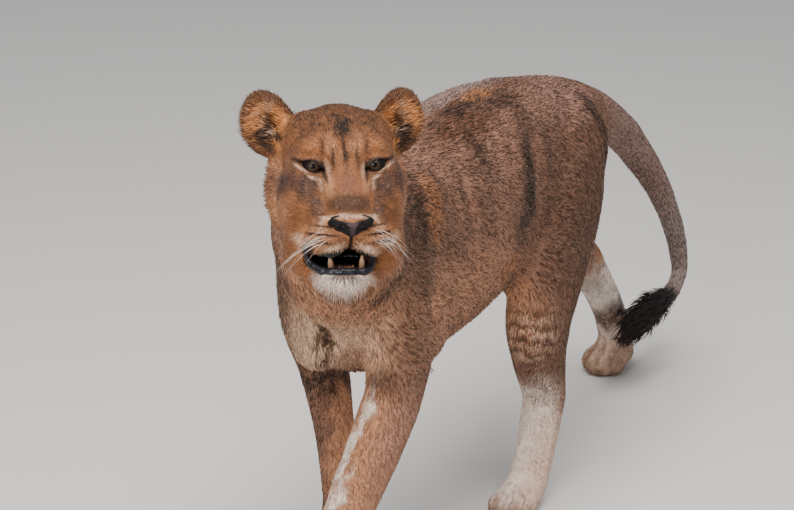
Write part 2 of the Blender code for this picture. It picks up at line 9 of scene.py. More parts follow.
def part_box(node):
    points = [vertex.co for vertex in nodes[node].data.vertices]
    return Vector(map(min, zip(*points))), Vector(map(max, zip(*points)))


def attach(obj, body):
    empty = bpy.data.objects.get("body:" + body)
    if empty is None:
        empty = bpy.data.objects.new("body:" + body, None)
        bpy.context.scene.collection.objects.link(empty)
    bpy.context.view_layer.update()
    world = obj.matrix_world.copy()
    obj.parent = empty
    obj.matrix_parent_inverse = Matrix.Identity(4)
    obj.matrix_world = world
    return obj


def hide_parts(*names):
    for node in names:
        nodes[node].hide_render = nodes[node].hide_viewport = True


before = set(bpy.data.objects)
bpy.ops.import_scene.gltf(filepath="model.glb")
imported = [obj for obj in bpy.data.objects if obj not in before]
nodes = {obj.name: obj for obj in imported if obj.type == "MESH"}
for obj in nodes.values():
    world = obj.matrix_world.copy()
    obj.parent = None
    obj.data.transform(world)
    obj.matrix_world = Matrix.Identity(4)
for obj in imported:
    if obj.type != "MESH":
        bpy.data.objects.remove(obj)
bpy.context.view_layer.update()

# the head's own frame: its face looks along -Y, its left is +X, its middle is the origin
headPose = {"yaw": 35.6, "pitch": -15.2, "scale": 1.019, "eye": (0.0515, -0.1045, 0.020), "eyeRadius": 0.0185}


def middleOf(name):
    low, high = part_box(name)
    return (Vector(low) + Vector(high)) / 2


headTurn = Matrix.Rotation(math.radians(headPose["yaw"]), 3, "Z")
headTurn = headTurn @ Matrix.Rotation(math.radians(headPose["pitch"]), 3, "X")
eyesMiddle = (middleOf("eye_left") + middleOf("eye_right")) / 2
eyesAt = Vector((0, headPose["eye"][1], headPose["eye"][2]))
headOrigin = eyesMiddle - headTurn @ eyesAt * headPose["scale"]
turnTable = np.array(headTurn)
walkOrigin = headOrigin - Vector((0.199, -0.772, 1.010))   # on the floor under the spine


def toHead(points):
    return (points - np.array(headOrigin)) @ turnTable / headPose["scale"]


def fromHead(points):
    return points * headPose["scale"] @ turnTable.T + np.array(headOrigin)


def placesOf(thing):
    flat = np.empty(len(thing.data.vertices) * 3)
    thing.data.vertices.foreach_get("co", flat)
    return flat.reshape(-1, 3)


def setPlaces(thing, places):
    thing.data.vertices.foreach_set("co", places.ravel())
    thing.data.update()


def normalsOf(thing):
    flat = np.empty(len(thing.data.vertices) * 3)
    thing.data.vertex_normals.foreach_get("vector", flat)
    return flat.reshape(-1, 3)


def smooth(low, high, value):
    part = np.clip((value - low) / (high - low), 0, 1)
    return part * part * (3 - 2 * part)


def selectOnly(*things):
    bpy.ops.object.select_all(action="DESELECT")
    for thing in things:
        thing.select_set(True)
    bpy.context.view_layer.objects.active = things[0]


def applyModifier(thing, kind, **settings):
    selectOnly(thing)
    modifier = thing.modifiers.new("shape", kind)
    for name, value in settings.items():
        setattr(modifier, name, value)
    bpy.ops.object.modifier_apply(modifier=modifier.name)


def setGroup(thing, name, values):
    group = thing.vertex_groups.get(name) or thing.vertex_groups.new(name=name)
    steps = np.round(np.clip(values, 0, 1) * 20) / 20
    for step in np.unique(steps):
        group.add(np.nonzero(steps == step)[0].tolist(), float(step), "REPLACE")
    return name


def copyOf(thing, name):
    made = thing.copy()
    made.data = thing.data.copy()
    made.name = name
    bpy.context.scene.collection.objects.link(made)
    return made


# a copied CAD node starts with no parent, no marks of its own and no material
def setFree(thing):
    thing.parent = None
    for key in list(thing.keys()):
        del thing[key]
    thing.data.materials.clear()


# one edit-mode operator on all of a piece
def editAll(thing, change, **settings):
    selectOnly(thing)
    bpy.ops.object.mode_set(mode="EDIT")
    bpy.ops.mesh.select_all(action="SELECT")
    change(**settings)
    bpy.ops.object.mode_set(mode="OBJECT")


def mergeDoubles(thing):
    editAll(thing, bpy.ops.mesh.remove_doubles, threshold=0.00001)


def smoothShade(thing):
    selectOnly(thing)
    bpy.ops.object.shade_smooth()


def bareCopy(node, name):
    made = copyOf(nodes[node], name)
    setFree(made)
    mergeDoubles(made)
    return made


def meshPiece(name, points, faces):
    made = bpy.data.meshes.new(name)
    made.from_pydata([tuple(point) for point in points], [], faces)
    piece = bpy.data.objects.new(name, made)
    bpy.context.scene.collection.objects.link(piece)
    editAll(piece, bpy.ops.mesh.normals_make_consistent, inside=False)
    smoothShade(piece)
    return piece


# skin: one surface grown from the solids of flesh, inside them by the coat's depth

skinMake = {
    "fatten": 0.0006,      # closes the thin cuts between the solids
    "bodyVoxel": 0.009,
    "fineVoxel": 0.003,
    "keep": 0.142,         # share of the fine triangles kept
    "longest": 0.015,      # edges over this are split again
    "bodyRounds": 30,
    "rounds": 8,           # of evening out
    "depth": 0.0045,       # the coat's, and by region
    "faceDepth": 0.0024,
    "earDepth": 0.0022,
    "shinLess": 0.0020,
    "tuftMore": 0.004,
}

fleshNames = [name for name in nodes if not name.startswith(("eye_", "nose", "tongue", "canine"))]


# 1 on the head, 0 behind it
def headness(points):
    local = toHead(points)
    reach = np.linalg.norm(local * (1, 0.9, 1), axis=1)
    return smooth(0.31, 0.25, reach) * smooth(0.10, 0.04, local[:, 1])


def neighbourMean(thing):
    pairs = np.empty(len(thing.data.edges) * 2, dtype=np.int64)
    thing.data.edges.foreach_get("vertices", pairs)
    one, two = pairs.reshape(-1, 2).T
    size = len(thing.data.vertices)
    count = np.maximum(np.bincount(one, minlength=size) + np.bincount(two, minlength=size), 1)

    def mean(places):
        total = np.empty_like(places)
        for axis in range(3):
            column = places[:, axis]
            total[:, axis] = np.bincount(one, column[two], size) + np.bincount(two, column[one], size)
        return total / count[:, None]
    return mean


# evens out facets and keeps the bulk: each round pulls in, then pushes out again
def relax(thing, weight, rounds):
    mean = neighbourMean(thing)
    places = placesOf(thing)
    for step in range(rounds):
        for pull in (0.55, -0.56):
            places += (mean(places) - places) * (pull * weight)[:, None]
    setPlaces(thing, places)


def baseSkin():
    solids = [name for name in nodes if not name.startswith(("canine", "tongue"))]
    selectOnly(*[copyOf(nodes[name], "skin_" + name) for name in solids])
    bpy.ops.object.join()
    skin = bpy.context.view_layer.objects.active
    skin.name = "skin"
    setFree(skin)
    mergeDoubles(skin)
    applyModifier(skin, "DISPLACE", strength=skinMake["fatten"], mid_level=0)
    coarse = copyOf(skin, "coarse")
    applyModifier(coarse, "REMESH", mode="VOXEL", voxel_size=skinMake["bodyVoxel"])
    places = placesOf(coarse)
    slim = 1 - 0.75 * smooth(0.52, 0.40, places[:, 2])
    relax(coarse, slim * (1 - headness(places)), skinMake["bodyRounds"])
    applyModifier(skin, "REMESH", mode="VOXEL", voxel_size=skinMake["fineVoxel"])
    body = 1 - headness(placesOf(skin))
    group = setGroup(skin, "body", body)
    applyModifier(skin, "SHRINKWRAP", target=coarse, vertex_group=group, wrap_method="NEAREST_SURFACEPOINT")
    bpy.data.objects.remove(coarse)
    relax(skin, np.ones(len(body)), skinMake["rounds"])
    print("fine skin", len(skin.data.vertices))
    setGroup(skin, "body", (body > 0.02) * 1.0)
    applyModifier(
        skin, "DECIMATE", ratio=skinMake["keep"], vertex_group=group, vertex_group_factor=1000,
        use_collapse_triangulate=True,
    )
    print("skin", len(skin.data.vertices), len(skin.data.polygons))
    return skin


skin = baseSkin()


# how far a point is into the tuft of the tail, 0 to 1
def tailParts(points):
    low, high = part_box("tail_tuft")
    inside = (points[:, 2] < high[2] + 0.02) & (points[:, 2] > low[2] - 0.03) & (points[:, 1] > low[1] - 0.02)
    inside &= abs(points[:, 0] - 0.5 * (low[0] + high[0])) < 0.06
    return smooth(high[1] + 0.01, high[1] - 0.03, points[:, 1]) * inside


def coatDepth(points):
    local = toHead(points)
    head = headness(points)
    depth = np.full(len(points), skinMake["depth"])
    depth -= skinMake["shinLess"] * smooth(0.30, 0.10, points[:, 2])
    face = head * smooth(0.02, -0.06, local[:, 1])
    depth = depth * (1 - face) + skinMake["faceDepth"] * face
    ears = head * smooth(0.075, 0.10, abs(local[:, 0])) * smooth(0.06, 0.09, local[:, 2])
    depth = depth * (1 - ears) + skinMake["earDepth"] * ears
    return depth + skinMake["tuftMore"] * tailParts(points)


def insetSkin():
    places = placesOf(skin)
    setPlaces(skin, places - normalsOf(skin) * coatDepth(places)[:, None])


insetSkin()


# splits the triangles where measure is over 0
def refine(measure):
    chosen = measure(placesOf(skin)) > 0
    selectOnly(skin)
    bpy.ops.object.mode_set(mode="EDIT")
    bpy.ops.mesh.select_all(action="DESELECT")
    bpy.ops.object.mode_set(mode="OBJECT")
    corners = np.empty(len(skin.data.polygons) * 3, dtype=np.int64)
    skin.data.polygons.foreach_get("vertices", corners)
    skin.data.polygons.foreach_set("select", chosen[corners.reshape(-1, 3)].all(axis=1))
    bpy.ops.object.mode_set(mode="EDIT")
    bpy.ops.mesh.subdivide(number_cuts=1)
    bpy.ops.object.mode_set(mode="OBJECT")
    editAll(skin, bpy.ops.mesh.quads_convert_to_tris)


# opening of the eye, seen along its own axis
eyeFrame = {
    "outward": 12.0, "tilt": 17.0,
    "low": -0.0165, "high": 0.0190,                                 # inner and outer corner
    "top": 0.0094, "bottom": 0.0094, "middle": -0.0008,
    "gaps": (-0.0012, -0.0004, 0, 0.0012, 0.0035, 0.010),           # from the lid's edge
    "stand": (-0.0045, -0.0040, 0.0004, 0.0017, 0.0024, 0.0024),    # how far it stands off the ball there
}


def eyeAxes(side):
    turn = math.radians(eyeFrame["outward"])
    ahead = np.array((side * math.sin(turn), -math.cos(turn), 0.0))
    outer = np.array((side * math.cos(turn), math.sin(turn), 0.0))
    return ahead, outer, np.array((0.0, 0.0, 1.0))


def nearEyes(places):
    local = toHead(places)
    out = np.full(len(local), -1.0)
    for side in (1, -1):
        centre = np.array(headPose["eye"]) * (side, 1, 1)
        gap = np.linalg.norm(local - centre, axis=1)
        out[(gap < 0.031) & (local[:, 1] < centre[1] + 0.004)] = 1
    return out


def nearMouth(places):
    local = toHead(places)
    gap = np.linalg.norm((local - (0, -0.185, -0.115)) / (0.075, 0.05, 0.05), axis=1)
    return 1 - gap


# each paw: middle, turn and size; toes spread from it
paws = [
    (0.051, -0.642, 4.0, 1.10),     # left fore
    (-0.061, -0.374, -4.0, 1.10),   # right fore
    (0.097, 0.203, 4.0, 1.08),      # left hind
    (-0.107, 1.148, -3.0, 1.14),    # right hind
]


def pawLocal(walk, paw):
    across, along, turn, size = paw
    angle = math.radians(turn)
    offset = (walk - (across, along, 0)) / size
    side = offset[:, 0] * math.cos(angle) + offset[:, 1] * math.sin(angle)
    ahead = -(offset[:, 1] * math.cos(angle) - offset[:, 0] * math.sin(angle))
    return np.stack([side, ahead, offset[:, 2]], axis=1)


def nearToes(places):
    walk = places - np.array(walkOrigin)
    out = np.full(len(walk), -1.0)
    for paw in paws:
        local = pawLocal(walk, paw)
        ahead = (local[:, 1] > 0.020) & (local[:, 1] < 0.11)
        out[ahead & (abs(local[:, 0]) < 0.065) & (local[:, 2] < 0.062)] = 1
    return out


def splitLong(limit, rounds=2):
    mesh = bmesh.new()
    mesh.from_mesh(skin.data)
    for step in range(rounds):
        edges = [edge for edge in mesh.edges if edge.calc_length() > limit]
        bmesh.ops.subdivide_edges(mesh, edges=edges, cuts=1, smooth=0.6)
        bmesh.ops.triangulate(mesh, faces=mesh.faces[:])
    mesh.to_mesh(skin.data)
    mesh.free()


splitLong(skinMake["longest"])
for near in (nearEyes, nearMouth, nearToes):
    refine(near)
print("refined skin", len(skin.data.polygons))


# moves what lies near a centre, most in the middle
def swell(local, centre, radii, move, both=True):
    for side in ((1, -1) if both else (1,)):
        mirror = np.array((side, 1, 1))
        gap = ((local - np.array(centre) * mirror) / np.array(radii)) ** 2
        part = np.clip(1 - gap.sum(axis=1), 0, 1) ** 2
        local += part[:, None] * (np.array(move) * mirror)


# head: centre, radii and move in the head's frame, on both sides
headSwells = [
    ((0.048, -0.112, 0.052), (0.034, 0.040, 0.020), (0.000, -0.0045, -0.0010)),    # brow
    ((0.030, -0.122, 0.012), (0.014, 0.040, 0.022), (0.000, 0.0060, 0.000)),       # inner corner of the eye
    ((0.056, -0.110, -0.012), (0.030, 0.040, 0.016), (0.000, 0.0030, 0.000)),      # under the eye
    ((0.066, -0.085, -0.030), (0.030, 0.050, 0.026), (0.003, -0.0030, 0.000)),     # cheekbone
    ((0.042, -0.150, -0.040), (0.018, 0.040, 0.030), (-0.004, 0.0030, 0.000)),     # side of the bridge
    ((0.032, -0.190, -0.098), (0.028, 0.034, 0.026), (0.002, -0.0060, 0.000)),     # whisker pad
    ((0.050, -0.165, -0.110), (0.022, 0.034, 0.022), (0.005, -0.0030, -0.001)),
    ((0.030, -0.186, -0.121), (0.020, 0.036, 0.014), (0.000, -0.0030, -0.0065)),   # lobe of the lip
    ((0.064, -0.135, -0.086), (0.014, 0.030, 0.030), (-0.004, 0.0030, 0.000)),     # behind the pad
]
# the same on the middle line, or on one side alone
headMiddles = [
    ((0.000, -0.205, -0.104), (0.0055, 0.040, 0.020), (0.000, 0.0075, 0.000)),   # groove under the nose
    ((0.000, -0.190, -0.121), (0.019, 0.040, 0.018), (0.000, 0.0060, 0.0125)),   # arch of the lip
    ((0.000, -0.150, -0.010), (0.020, 0.040, 0.030), (0.000, 0.0020, 0.000)),    # dip of the bridge
    ((0.000, -0.110, 0.070), (0.008, 0.050, 0.040), (0.000, 0.0035, -0.001)),    # furrow of the brow
    ((0.000, -0.196, -0.052), (0.040, 0.030, 0.016), (0.000, -0.0030, 0.002)),   # above the nose
    ((0.070, -0.150, -0.130), (0.036, 0.060, 0.038), (-0.030, -0.004, 0.000)),   # left corner of the mouth
]


def shapeHead():
    places = placesOf(skin)
    local = toHead(places)
    for centre, radii, move in headSwells:
        swell(local, centre, radii, move)
    for centre, radii, move in headMiddles:
        swell(local, centre, radii, move, both=False)
    setPlaces(skin, fromHead(local))


# body: the same in walking coordinates, x across from the spine
bodySwells = [
    ((0.145, 0.175, 0.76), (0.070, 0.055, 0.170), (-0.011, 0.000, 0.000)),    # hollow of the flank
    ((0.130, -0.270, 0.83), (0.060, 0.085, 0.120), (0.007, -0.002, 0.003)),   # shoulder blade
    ((0.140, -0.150, 0.80), (0.050, 0.032, 0.140), (-0.007, 0.000, 0.000)),   # behind it
    ((0.160, 0.340, 0.70), (0.060, 0.110, 0.160), (0.006, 0.000, 0.000)),     # thigh
    ((0.060, 0.310, 0.93), (0.040, 0.060, 0.040), (0.003, 0.000, 0.006)),     # hip bone
    ((0.060, -0.200, 0.93), (0.035, 0.070, 0.040), (0.002, 0.000, 0.006)),    # top of the shoulder
    ((0.150, -0.330, 0.60), (0.040, 0.050, 0.060), (0.006, 0.004, 0.000)),    # elbow
]
bodyMiddles = [
    ((0.050, -0.553, 0.609), (0.022, 0.060, 0.060), (0.000, 0.020, 0.000)),   # furrow of the chest
    ((0.066, -0.575, 0.655), (0.022, 0.060, 0.050), (0.000, 0.014, 0.000)),
    ((0.000, 0.060, 0.960), (0.022, 0.340, 0.030), (0.000, 0.000, -0.005)),   # dip along the spine
]
toeMake = {"grooves": (-0.0245, 0.0, 0.0245), "width": 0.0060, "depth": 0.0145}


def shapeBody():
    walk = placesOf(skin) - np.array(walkOrigin)
    for centre, radii, move in bodySwells:
        swell(walk, centre, radii, move)
    for centre, radii, move in bodyMiddles:
        swell(walk, centre, radii, move, both=False)
    for paw in paws:
        local = pawLocal(walk, paw)
        front = smooth(0.022, 0.050, local[:, 1]) * (local[:, 1] < 0.12) * (abs(local[:, 0]) < 0.07)
        front = front * smooth(0.004, 0.014, local[:, 2]) * smooth(0.070, 0.050, local[:, 2])
        sunk = np.zeros(len(walk))
        for across in toeMake["grooves"]:
            gap = (local[:, 0] - across * (0.75 + 4.5 * local[:, 1])) / toeMake["width"]
            sunk += np.exp(-gap ** 2) * toeMake["depth"]
        angle = math.radians(paw[2])
        push = np.stack([-math.sin(angle) * sunk, math.cos(angle) * sunk, -0.7 * sunk], axis=1)
        walk += push * front[:, None]
    setPlaces(skin, walk + np.array(walkOrigin))


# signed distance to the edge of the eye's opening: under 0 inside it
def lidGap(across, up):
    half = 0.5 * (eyeFrame["high"] - eyeFrame["low"])
    along = (across - 0.5 * (eyeFrame["low"] + eyeFrame["high"])) / half
    middle = eyeFrame["middle"] + math.tan(math.radians(eyeFrame["tilt"])) * across
    arch = np.clip(1 - along ** 2, 0, 1)
    above = up - (middle + eyeFrame["top"] * arch ** 0.75)
    below = (middle - eyeFrame["bottom"] * arch) - up
    gap = np.maximum(above, below)
    beyond = np.clip(abs(along) - 1, 0, None) * half
    return np.where(beyond > 0, np.hypot(np.maximum(gap, 0), beyond), gap), above > below


def shapeLids():
    places = placesOf(skin)
    local = toHead(places)
    radius = headPose["eyeRadius"]
    for side in (1, -1):
        centre = np.array(headPose["eye"]) * (side, 1, 1)
        ahead, outer, up = eyeAxes(side)
        offset = local - centre
        front, across, height = offset @ ahead, offset @ outer, offset @ up
        near = (np.hypot(across, height) < 0.030) & (front > 0)
        gap, above = lidGap(across, height)
        snap = near & (abs(gap) < 0.0007) & (abs(across) < 0.018)
        height = np.where(snap, np.where(above, height - gap, height + gap), height)
        gap = np.where(snap, 0.0, gap)
        flat = np.hypot(across, height)
        shell = radius + np.interp(gap, eyeFrame["gaps"], eyeFrame["stand"])
        lidFront = np.sqrt(np.clip(shell ** 2 - flat ** 2, 1e-8, None))
        part = np.where(near, smooth(0.0085, 0.0020, gap), 0)
        inside = near & (gap < 0) & ~snap
        part = np.where(inside, 1.0, part)
        front = front + (lidFront - front) * part
        front = np.where(near & (gap >= 0) & (flat < radius + 0.001), np.maximum(front, lidFront), front)
        moved = centre + front[:, None] * ahead + across[:, None] * outer + height[:, None] * up
        local = np.where(near[:, None], moved, local)
    setPlaces(skin, fromHead(local))


shapeBody()
shapeHead()
shapeLids()
smoothShade(skin)
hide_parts(*fleshNames)
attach(skin, "root")


# one socket of a node tree, with arithmetic that adds Math nodes
class Wire:
    def __init__(self, tree, socket):
        self.tree = tree
        self.socket = socket

    def add(self, kind, settings, sockets, output=0):
        return addNode(self.tree, kind, settings, sockets, output)

    def maths(self, operation, *values):
        return self.add("ShaderNodeMath", {"operation": operation}, dict(enumerate(values)))

    def __add__(self, other):
        return self.maths("ADD", self, other)

    def __sub__(self, other):
        return self.maths("SUBTRACT", self, other)

    def __rsub__(self, other):
        return self.maths("SUBTRACT", other, self)

    def __mul__(self, other):
        return self.maths("MULTIPLY", self, other)

    __radd__ = __add__
    __rmul__ = __mul__

    # start below low, end above high, smooth between
    def rise(self, low, high, start=0.0, end=1.0):
        sockets = {0: self, 1: low, 2: high, 3: start, 4: end}
        return self.add("ShaderNodeMapRange", {"interpolation_type": "SMOOTHSTEP"}, sockets)

    def part(self, axis):
        return self.add("ShaderNodeSeparateXYZ", {}, {0: self}, axis)

    def vector(self, operation, *values, output=0):
        return self.add("ShaderNodeVectorMath", {"operation": operation}, dict(enumerate(values)), output)

    # vector sum, or the vector plus other times scale
    def shift(self, other, scale=None):
        if scale is None:
            return self.vector("ADD", self, other)
        return self.vector("MULTIPLY_ADD", other, (scale,) * 3, self)

    # the place in a frame of its own: its origin, turn and scale
    def within(self, origin, turn, scale=(1, 1, 1)):
        sockets = {0: self, 1: origin, 2: turn, 3: scale}
        return self.add("ShaderNodeMapping", {"vector_type": "TEXTURE"}, sockets)

    # the place with both sides of her as one
    def mirrored(self):
        flat = self.vector("ABSOLUTE", self)
        return self.add("ShaderNodeCombineXYZ", {}, {0: flat.part(0), 1: self.part(1), 2: self.part(2)})

    # a colour between one and two, by this value
    def blend(self, one, two):
        sockets = {0: self, 6: one, 7: two}
        return self.add("ShaderNodeMix", {"data_type": "RGBA", "clamp_factor": True}, sockets, 2)


def addNode(tree, kind, settings, sockets, output=0):
    node = tree.nodes.new(kind)
    for name, value in settings.items():
        setattr(node, name, value)
    for name, value in sockets.items():
        if isinstance(value, Wire):
            tree.links.new(value.socket, node.inputs[name])
        else:
            node.inputs[name].default_value = value
    return Wire(tree, node.outputs[output])


def bumpOf(height, distance, strength):
    return height.add("ShaderNodeBump", {}, {"Height": height, "Distance": distance, "Strength": strength})


def newMaterial(name):
    material = bpy.data.materials.new(name)
    material.use_nodes = True
    return material, material.node_tree.nodes["Principled BSDF"]


# wires into the shader's sockets, and settings that hold everywhere
def feed(shader, wires, settings):
    for name, wire in wires.items():
        wire.tree.links.new(wire.socket, shader.inputs[name])
    for name, value in settings.items():
        shader.inputs[name].default_value = value


# the place on a piece, in its own frame
def objectPlace(material):
    return addNode(material.node_tree, "ShaderNodeTexCoord", {}, {}, 3)


# a colour by eye, 0 to 255, as the linear one a shader takes
def tone(red, green, blue):
    values = [value / 255 for value in (red, green, blue)]
    return tuple(((v + 0.055) / 1.055) ** 2.4 if v > 0.04 else v / 12.92 for v in values) + (1.0,)


def texture(place, kind, scale, output=0, **settings):
    numbers = {"Scale": scale}
    options = {}
    for name, value in settings.items():
        (options if name.islower() else numbers)[name] = value
    return place.add("ShaderNodeTex" + kind, options, {"Vector": place, **numbers}, output)


# 1 inside an egg round centre, 0 outside, turned by tilt as seen from the front
def ball(place, centre, radii, tilt=0.0, soft=0.4):
    inside = place.within(centre, (0, math.radians(tilt), 0), radii)
    return inside.vector("LENGTH", inside, output=1).rise(1 + soft, 1 - soft)


# markings of the skin and the coat

coatTones = {
    "flank": tone(150, 108, 88),
    "face": tone(139, 89, 56),
    "dark": tone(38, 26, 21),
    "black": tone(22, 18, 18),
    "cream": tone(224, 190, 162),
    "white": tone(252, 234, 220),
    "orange": tone(178, 116, 72),
    "ear": tone(216, 142, 82),
    "rust": tone(88, 52, 32),
    "tan": tone(202, 144, 107),
    "mauve": tone(78, 56, 52),
    "olive": tone(66, 44, 30),
    "brown": tone(86, 58, 44),
    "grey": tone(122, 102, 94),
    # painted sheen on the ridge of the back
    "sheenGrey": tone(188, 170, 166),
    "rose": tone(166, 126, 112),
    "pink": tone(110, 65, 51),
    "eartip": tone(66, 40, 28),
    "tail": tone(150, 121, 110),
    "tailEnd": tone(146, 128, 122),
}

# centre, radii, tilt, softness, tone, strength; x is across, y runs to the tail, z is up
bodyMarks = [
    ((0.00, 0.10, 0.962), (0.110, 0.55, 0.050), 0, 0.5, "brown", 0.45),        # back
    ((0.00, 0.36, 0.62), (0.26, 0.25, 0.24), 0, 0.5, "brown", 0.85),           # haunches
    ((0.14, -0.22, 0.78), (0.06, 0.14, 0.12), 0, 0.6, "brown", 0.35),          # shoulder
    ((0.06, 0.44, 0.90), (0.12, 0.14, 0.07), 0, 0.6, "rose", 0.55),            # rump
    ((0.100, 0.165, 0.885), (0.060, 0.032, 0.050), 0, 0.7, "dark", 0.55),      # hollow of the flank: painted shade in it
    ((0.140, 0.122, 0.815), (0.060, 0.030, 0.060), 0, 0.7, "dark", 0.92),
    ((0.150, 0.100, 0.750), (0.060, 0.034, 0.060), 0, 0.7, "dark", 1.00),
    ((0.156, 0.062, 0.685), (0.050, 0.037, 0.050), 0, 0.7, "dark", 0.92),
    ((0.130, 0.233, 0.810), (0.060, 0.022, 0.055), 0, 0.7, "dark", 0.50),
    ((0.155, -0.20, 0.61), (0.060, 0.28, 0.085), 0, 0.6, "tan", 0.60),
    # painted shade in the hollow of the flank, weaker on her right side
    ((-0.13, 0.120, 0.77), (0.07, 0.040, 0.13), 0, 0.8, "dark", 0.50),
    ((0.114, 0.475, 0.845), (0.040, 0.024, 0.045), 0, 0.5, "dark", 0.85),      # painted shade where the tail begins
    ((0.136, 0.510, 0.765), (0.035, 0.022, 0.065), 0, 0.5, "dark", 0.85),
    ((0.150, 0.040, 0.61), (0.04, 0.035, 0.030), 20, 0.6, "orange", 0.65),     # fold to the stifle
    ((-0.135, 0.10, 0.60), (0.05, 0.07, 0.05), -20, 0.6, "orange", 0.6),
    ((-0.030, 0.12, 0.950), (0.040, 0.27, 0.030), 0, 0.5, "sheenGrey", 0.42),      # ridge of the back, with a painted sheen
    ((0.062, -0.04, 0.915), (0.045, 0.12, 0.034), 20, 0.6, "rust", 0.90),
    ((0.036, 0.02, 0.941), (0.019, 0.12, 0.017), 20, 0.5, "dark", 0.95),
    ((0.026, 0.090, 0.946), (0.020, 0.070, 0.016), 0, 0.6, "orange", 0.75),
    ((0.066, 0.13, 0.925), (0.020, 0.07, 0.016), 20, 0.6, "dark", 0.60),
    ((0.00, -0.10, 0.470), (0.14, 0.42, 0.085), 0, 0.5, "tan", 0.85),          # belly
    ((0.06, -0.62, 0.70), (0.18, 0.20, 0.24), 0, 0.4, "tan", 0.90),            # throat and chest
    ((0.02, -0.57, 0.600), (0.12, 0.15, 0.105), 0, 0.6, "cream", 0.95),
    ((0.050, -0.56, 0.610), (0.014, 0.10, 0.075), 14, 0.5, "olive", 0.95),     # furrow of the chest, with painted shade in it
    # painted shadow under the chest, between the forelegs
    ((0.00, -0.44, 0.505), (0.12, 0.11, 0.014), 0, 0.6, "dark", 0.75),
    ((0.145, -0.39, 0.83), (0.06, 0.075, 0.13), 0, 0.5, "olive", 0.85),        # neck
    # painted shade in a fold of the neck
    ((0.118, -0.345, 0.865), (0.028, 0.032, 0.085), -10, 0.5, "dark", 0.58),
    ((0.138, -0.298, 0.825), (0.020, 0.022, 0.080), -14, 0.6, "orange", 0.85),
    ((0.16, -0.42, 0.62), (0.04, 0.07, 0.16), 0, 0.6, "brown", 0.45),
    ((-0.07, -0.58, 0.76), (0.08, 0.14, 0.22), 0, 0.45, "olive", 0.80),
    ((0.02, -0.68, 0.80), (0.035, 0.06, 0.10), 0, 0.6, "dark", 0.75),
    ((0.172, -0.53, 0.735), (0.035, 0.09, 0.022), 38, 0.6, "olive", 0.90),     # painted shadow under the jaw
    ((0.115, -0.058, 0.865), (0.016, 0.030, 0.046), -36, 0.7, "dark", 0.80),   # crease of the shoulder blade: painted shade in it
    ((-0.115, -0.058, 0.865), (0.016, 0.030, 0.046), 36, 0.7, "dark", 0.60),
    ((0.11, -0.49, 0.27), (0.085, 0.19, 0.27), 0, 0.35, "tan", 0.85),          # left foreleg
    ((0.150, -0.44, 0.36), (0.035, 0.09, 0.14), 12, 0.6, "rose", 0.55),
    ((0.073, -0.508, 0.38), (0.0085, 0.07, 0.150), 17.5, 0.5, "white", 1.0),
    ((0.050, -0.555, 0.25), (0.0090, 0.07, 0.110), 20, 0.5, "white", 1.0),
    ((0.130, -0.49, 0.525), (0.034, 0.05, 0.030), 0, 0.6, "olive", 0.75),
    ((-0.10, -0.31, 0.27), (0.075, 0.16, 0.27), 0, 0.35, "brown", 0.55),       # right foreleg
    # painted shade at the top of the right foreleg, under the body
    ((-0.09, -0.33, 0.445), (0.085, 0.11, 0.036), 0, 0.6, "dark", 0.90),
    ((-0.040, -0.32, 0.36), (0.026, 0.09, 0.15), 8, 0.5, "tan", 0.75),
    ((0.12, 0.14, 0.45), (0.07, 0.055, 0.08), 0, 0.6, "tan", 0.60),            # left stifle
    ((0.130, 0.12, 0.53), (0.024, 0.030, 0.035), 0, 0.5, "orange", 0.45),
    ((0.12, 0.32, 0.42), (0.07, 0.09, 0.13), 0, 0.5, "brown", 0.75),
    ((0.12, 0.25, 0.31), (0.07, 0.11, 0.07), 0, 0.5, "brown", 0.60),
    ((0.095, 0.25, 0.19), (0.07, 0.07, 0.12), 0, 0.5, "white", 0.75),
    ((0.095, 0.26, 0.085), (0.075, 0.14, 0.125), 0, 0.35, "white", 0.80),      # left hind foot
    ((0.130, 0.25, 0.10), (0.030, 0.12, 0.10), 0, 0.5, "tan", 0.45),
    ((-0.095, 1.03, 0.22), (0.065, 0.15, 0.17), 0, 0.35, "white", 1.0),        # right hind foot
    ((-0.095, 1.080, 0.162), (0.060, 0.055, 0.046), 20, 0.5, "rust", 0.88),
    ((-0.095, 0.945, 0.275), (0.060, 0.050, 0.030), 0, 0.5, "olive", 0.45),
    ((-0.115, 1.02, 0.255), (0.030, 0.030, 0.040), 0, 0.5, "grey", 0.60),
    ((-0.080, 0.965, 0.360), (0.045, 0.035, 0.026), 0, 0.5, "orange", 0.9),
    ((-0.080, 0.965, 0.322), (0.045, 0.035, 0.010), 0, 0.5, "dark", 0.6),
    ((0.00, -0.45, 0.03), (0.25, 0.40, 0.055), 0, 0.5, "tan", 0.75),           # paws
    ((-0.10, 1.13, 0.03), (0.09, 0.10, 0.050), 0, 0.5, "cream", 0.60),
]

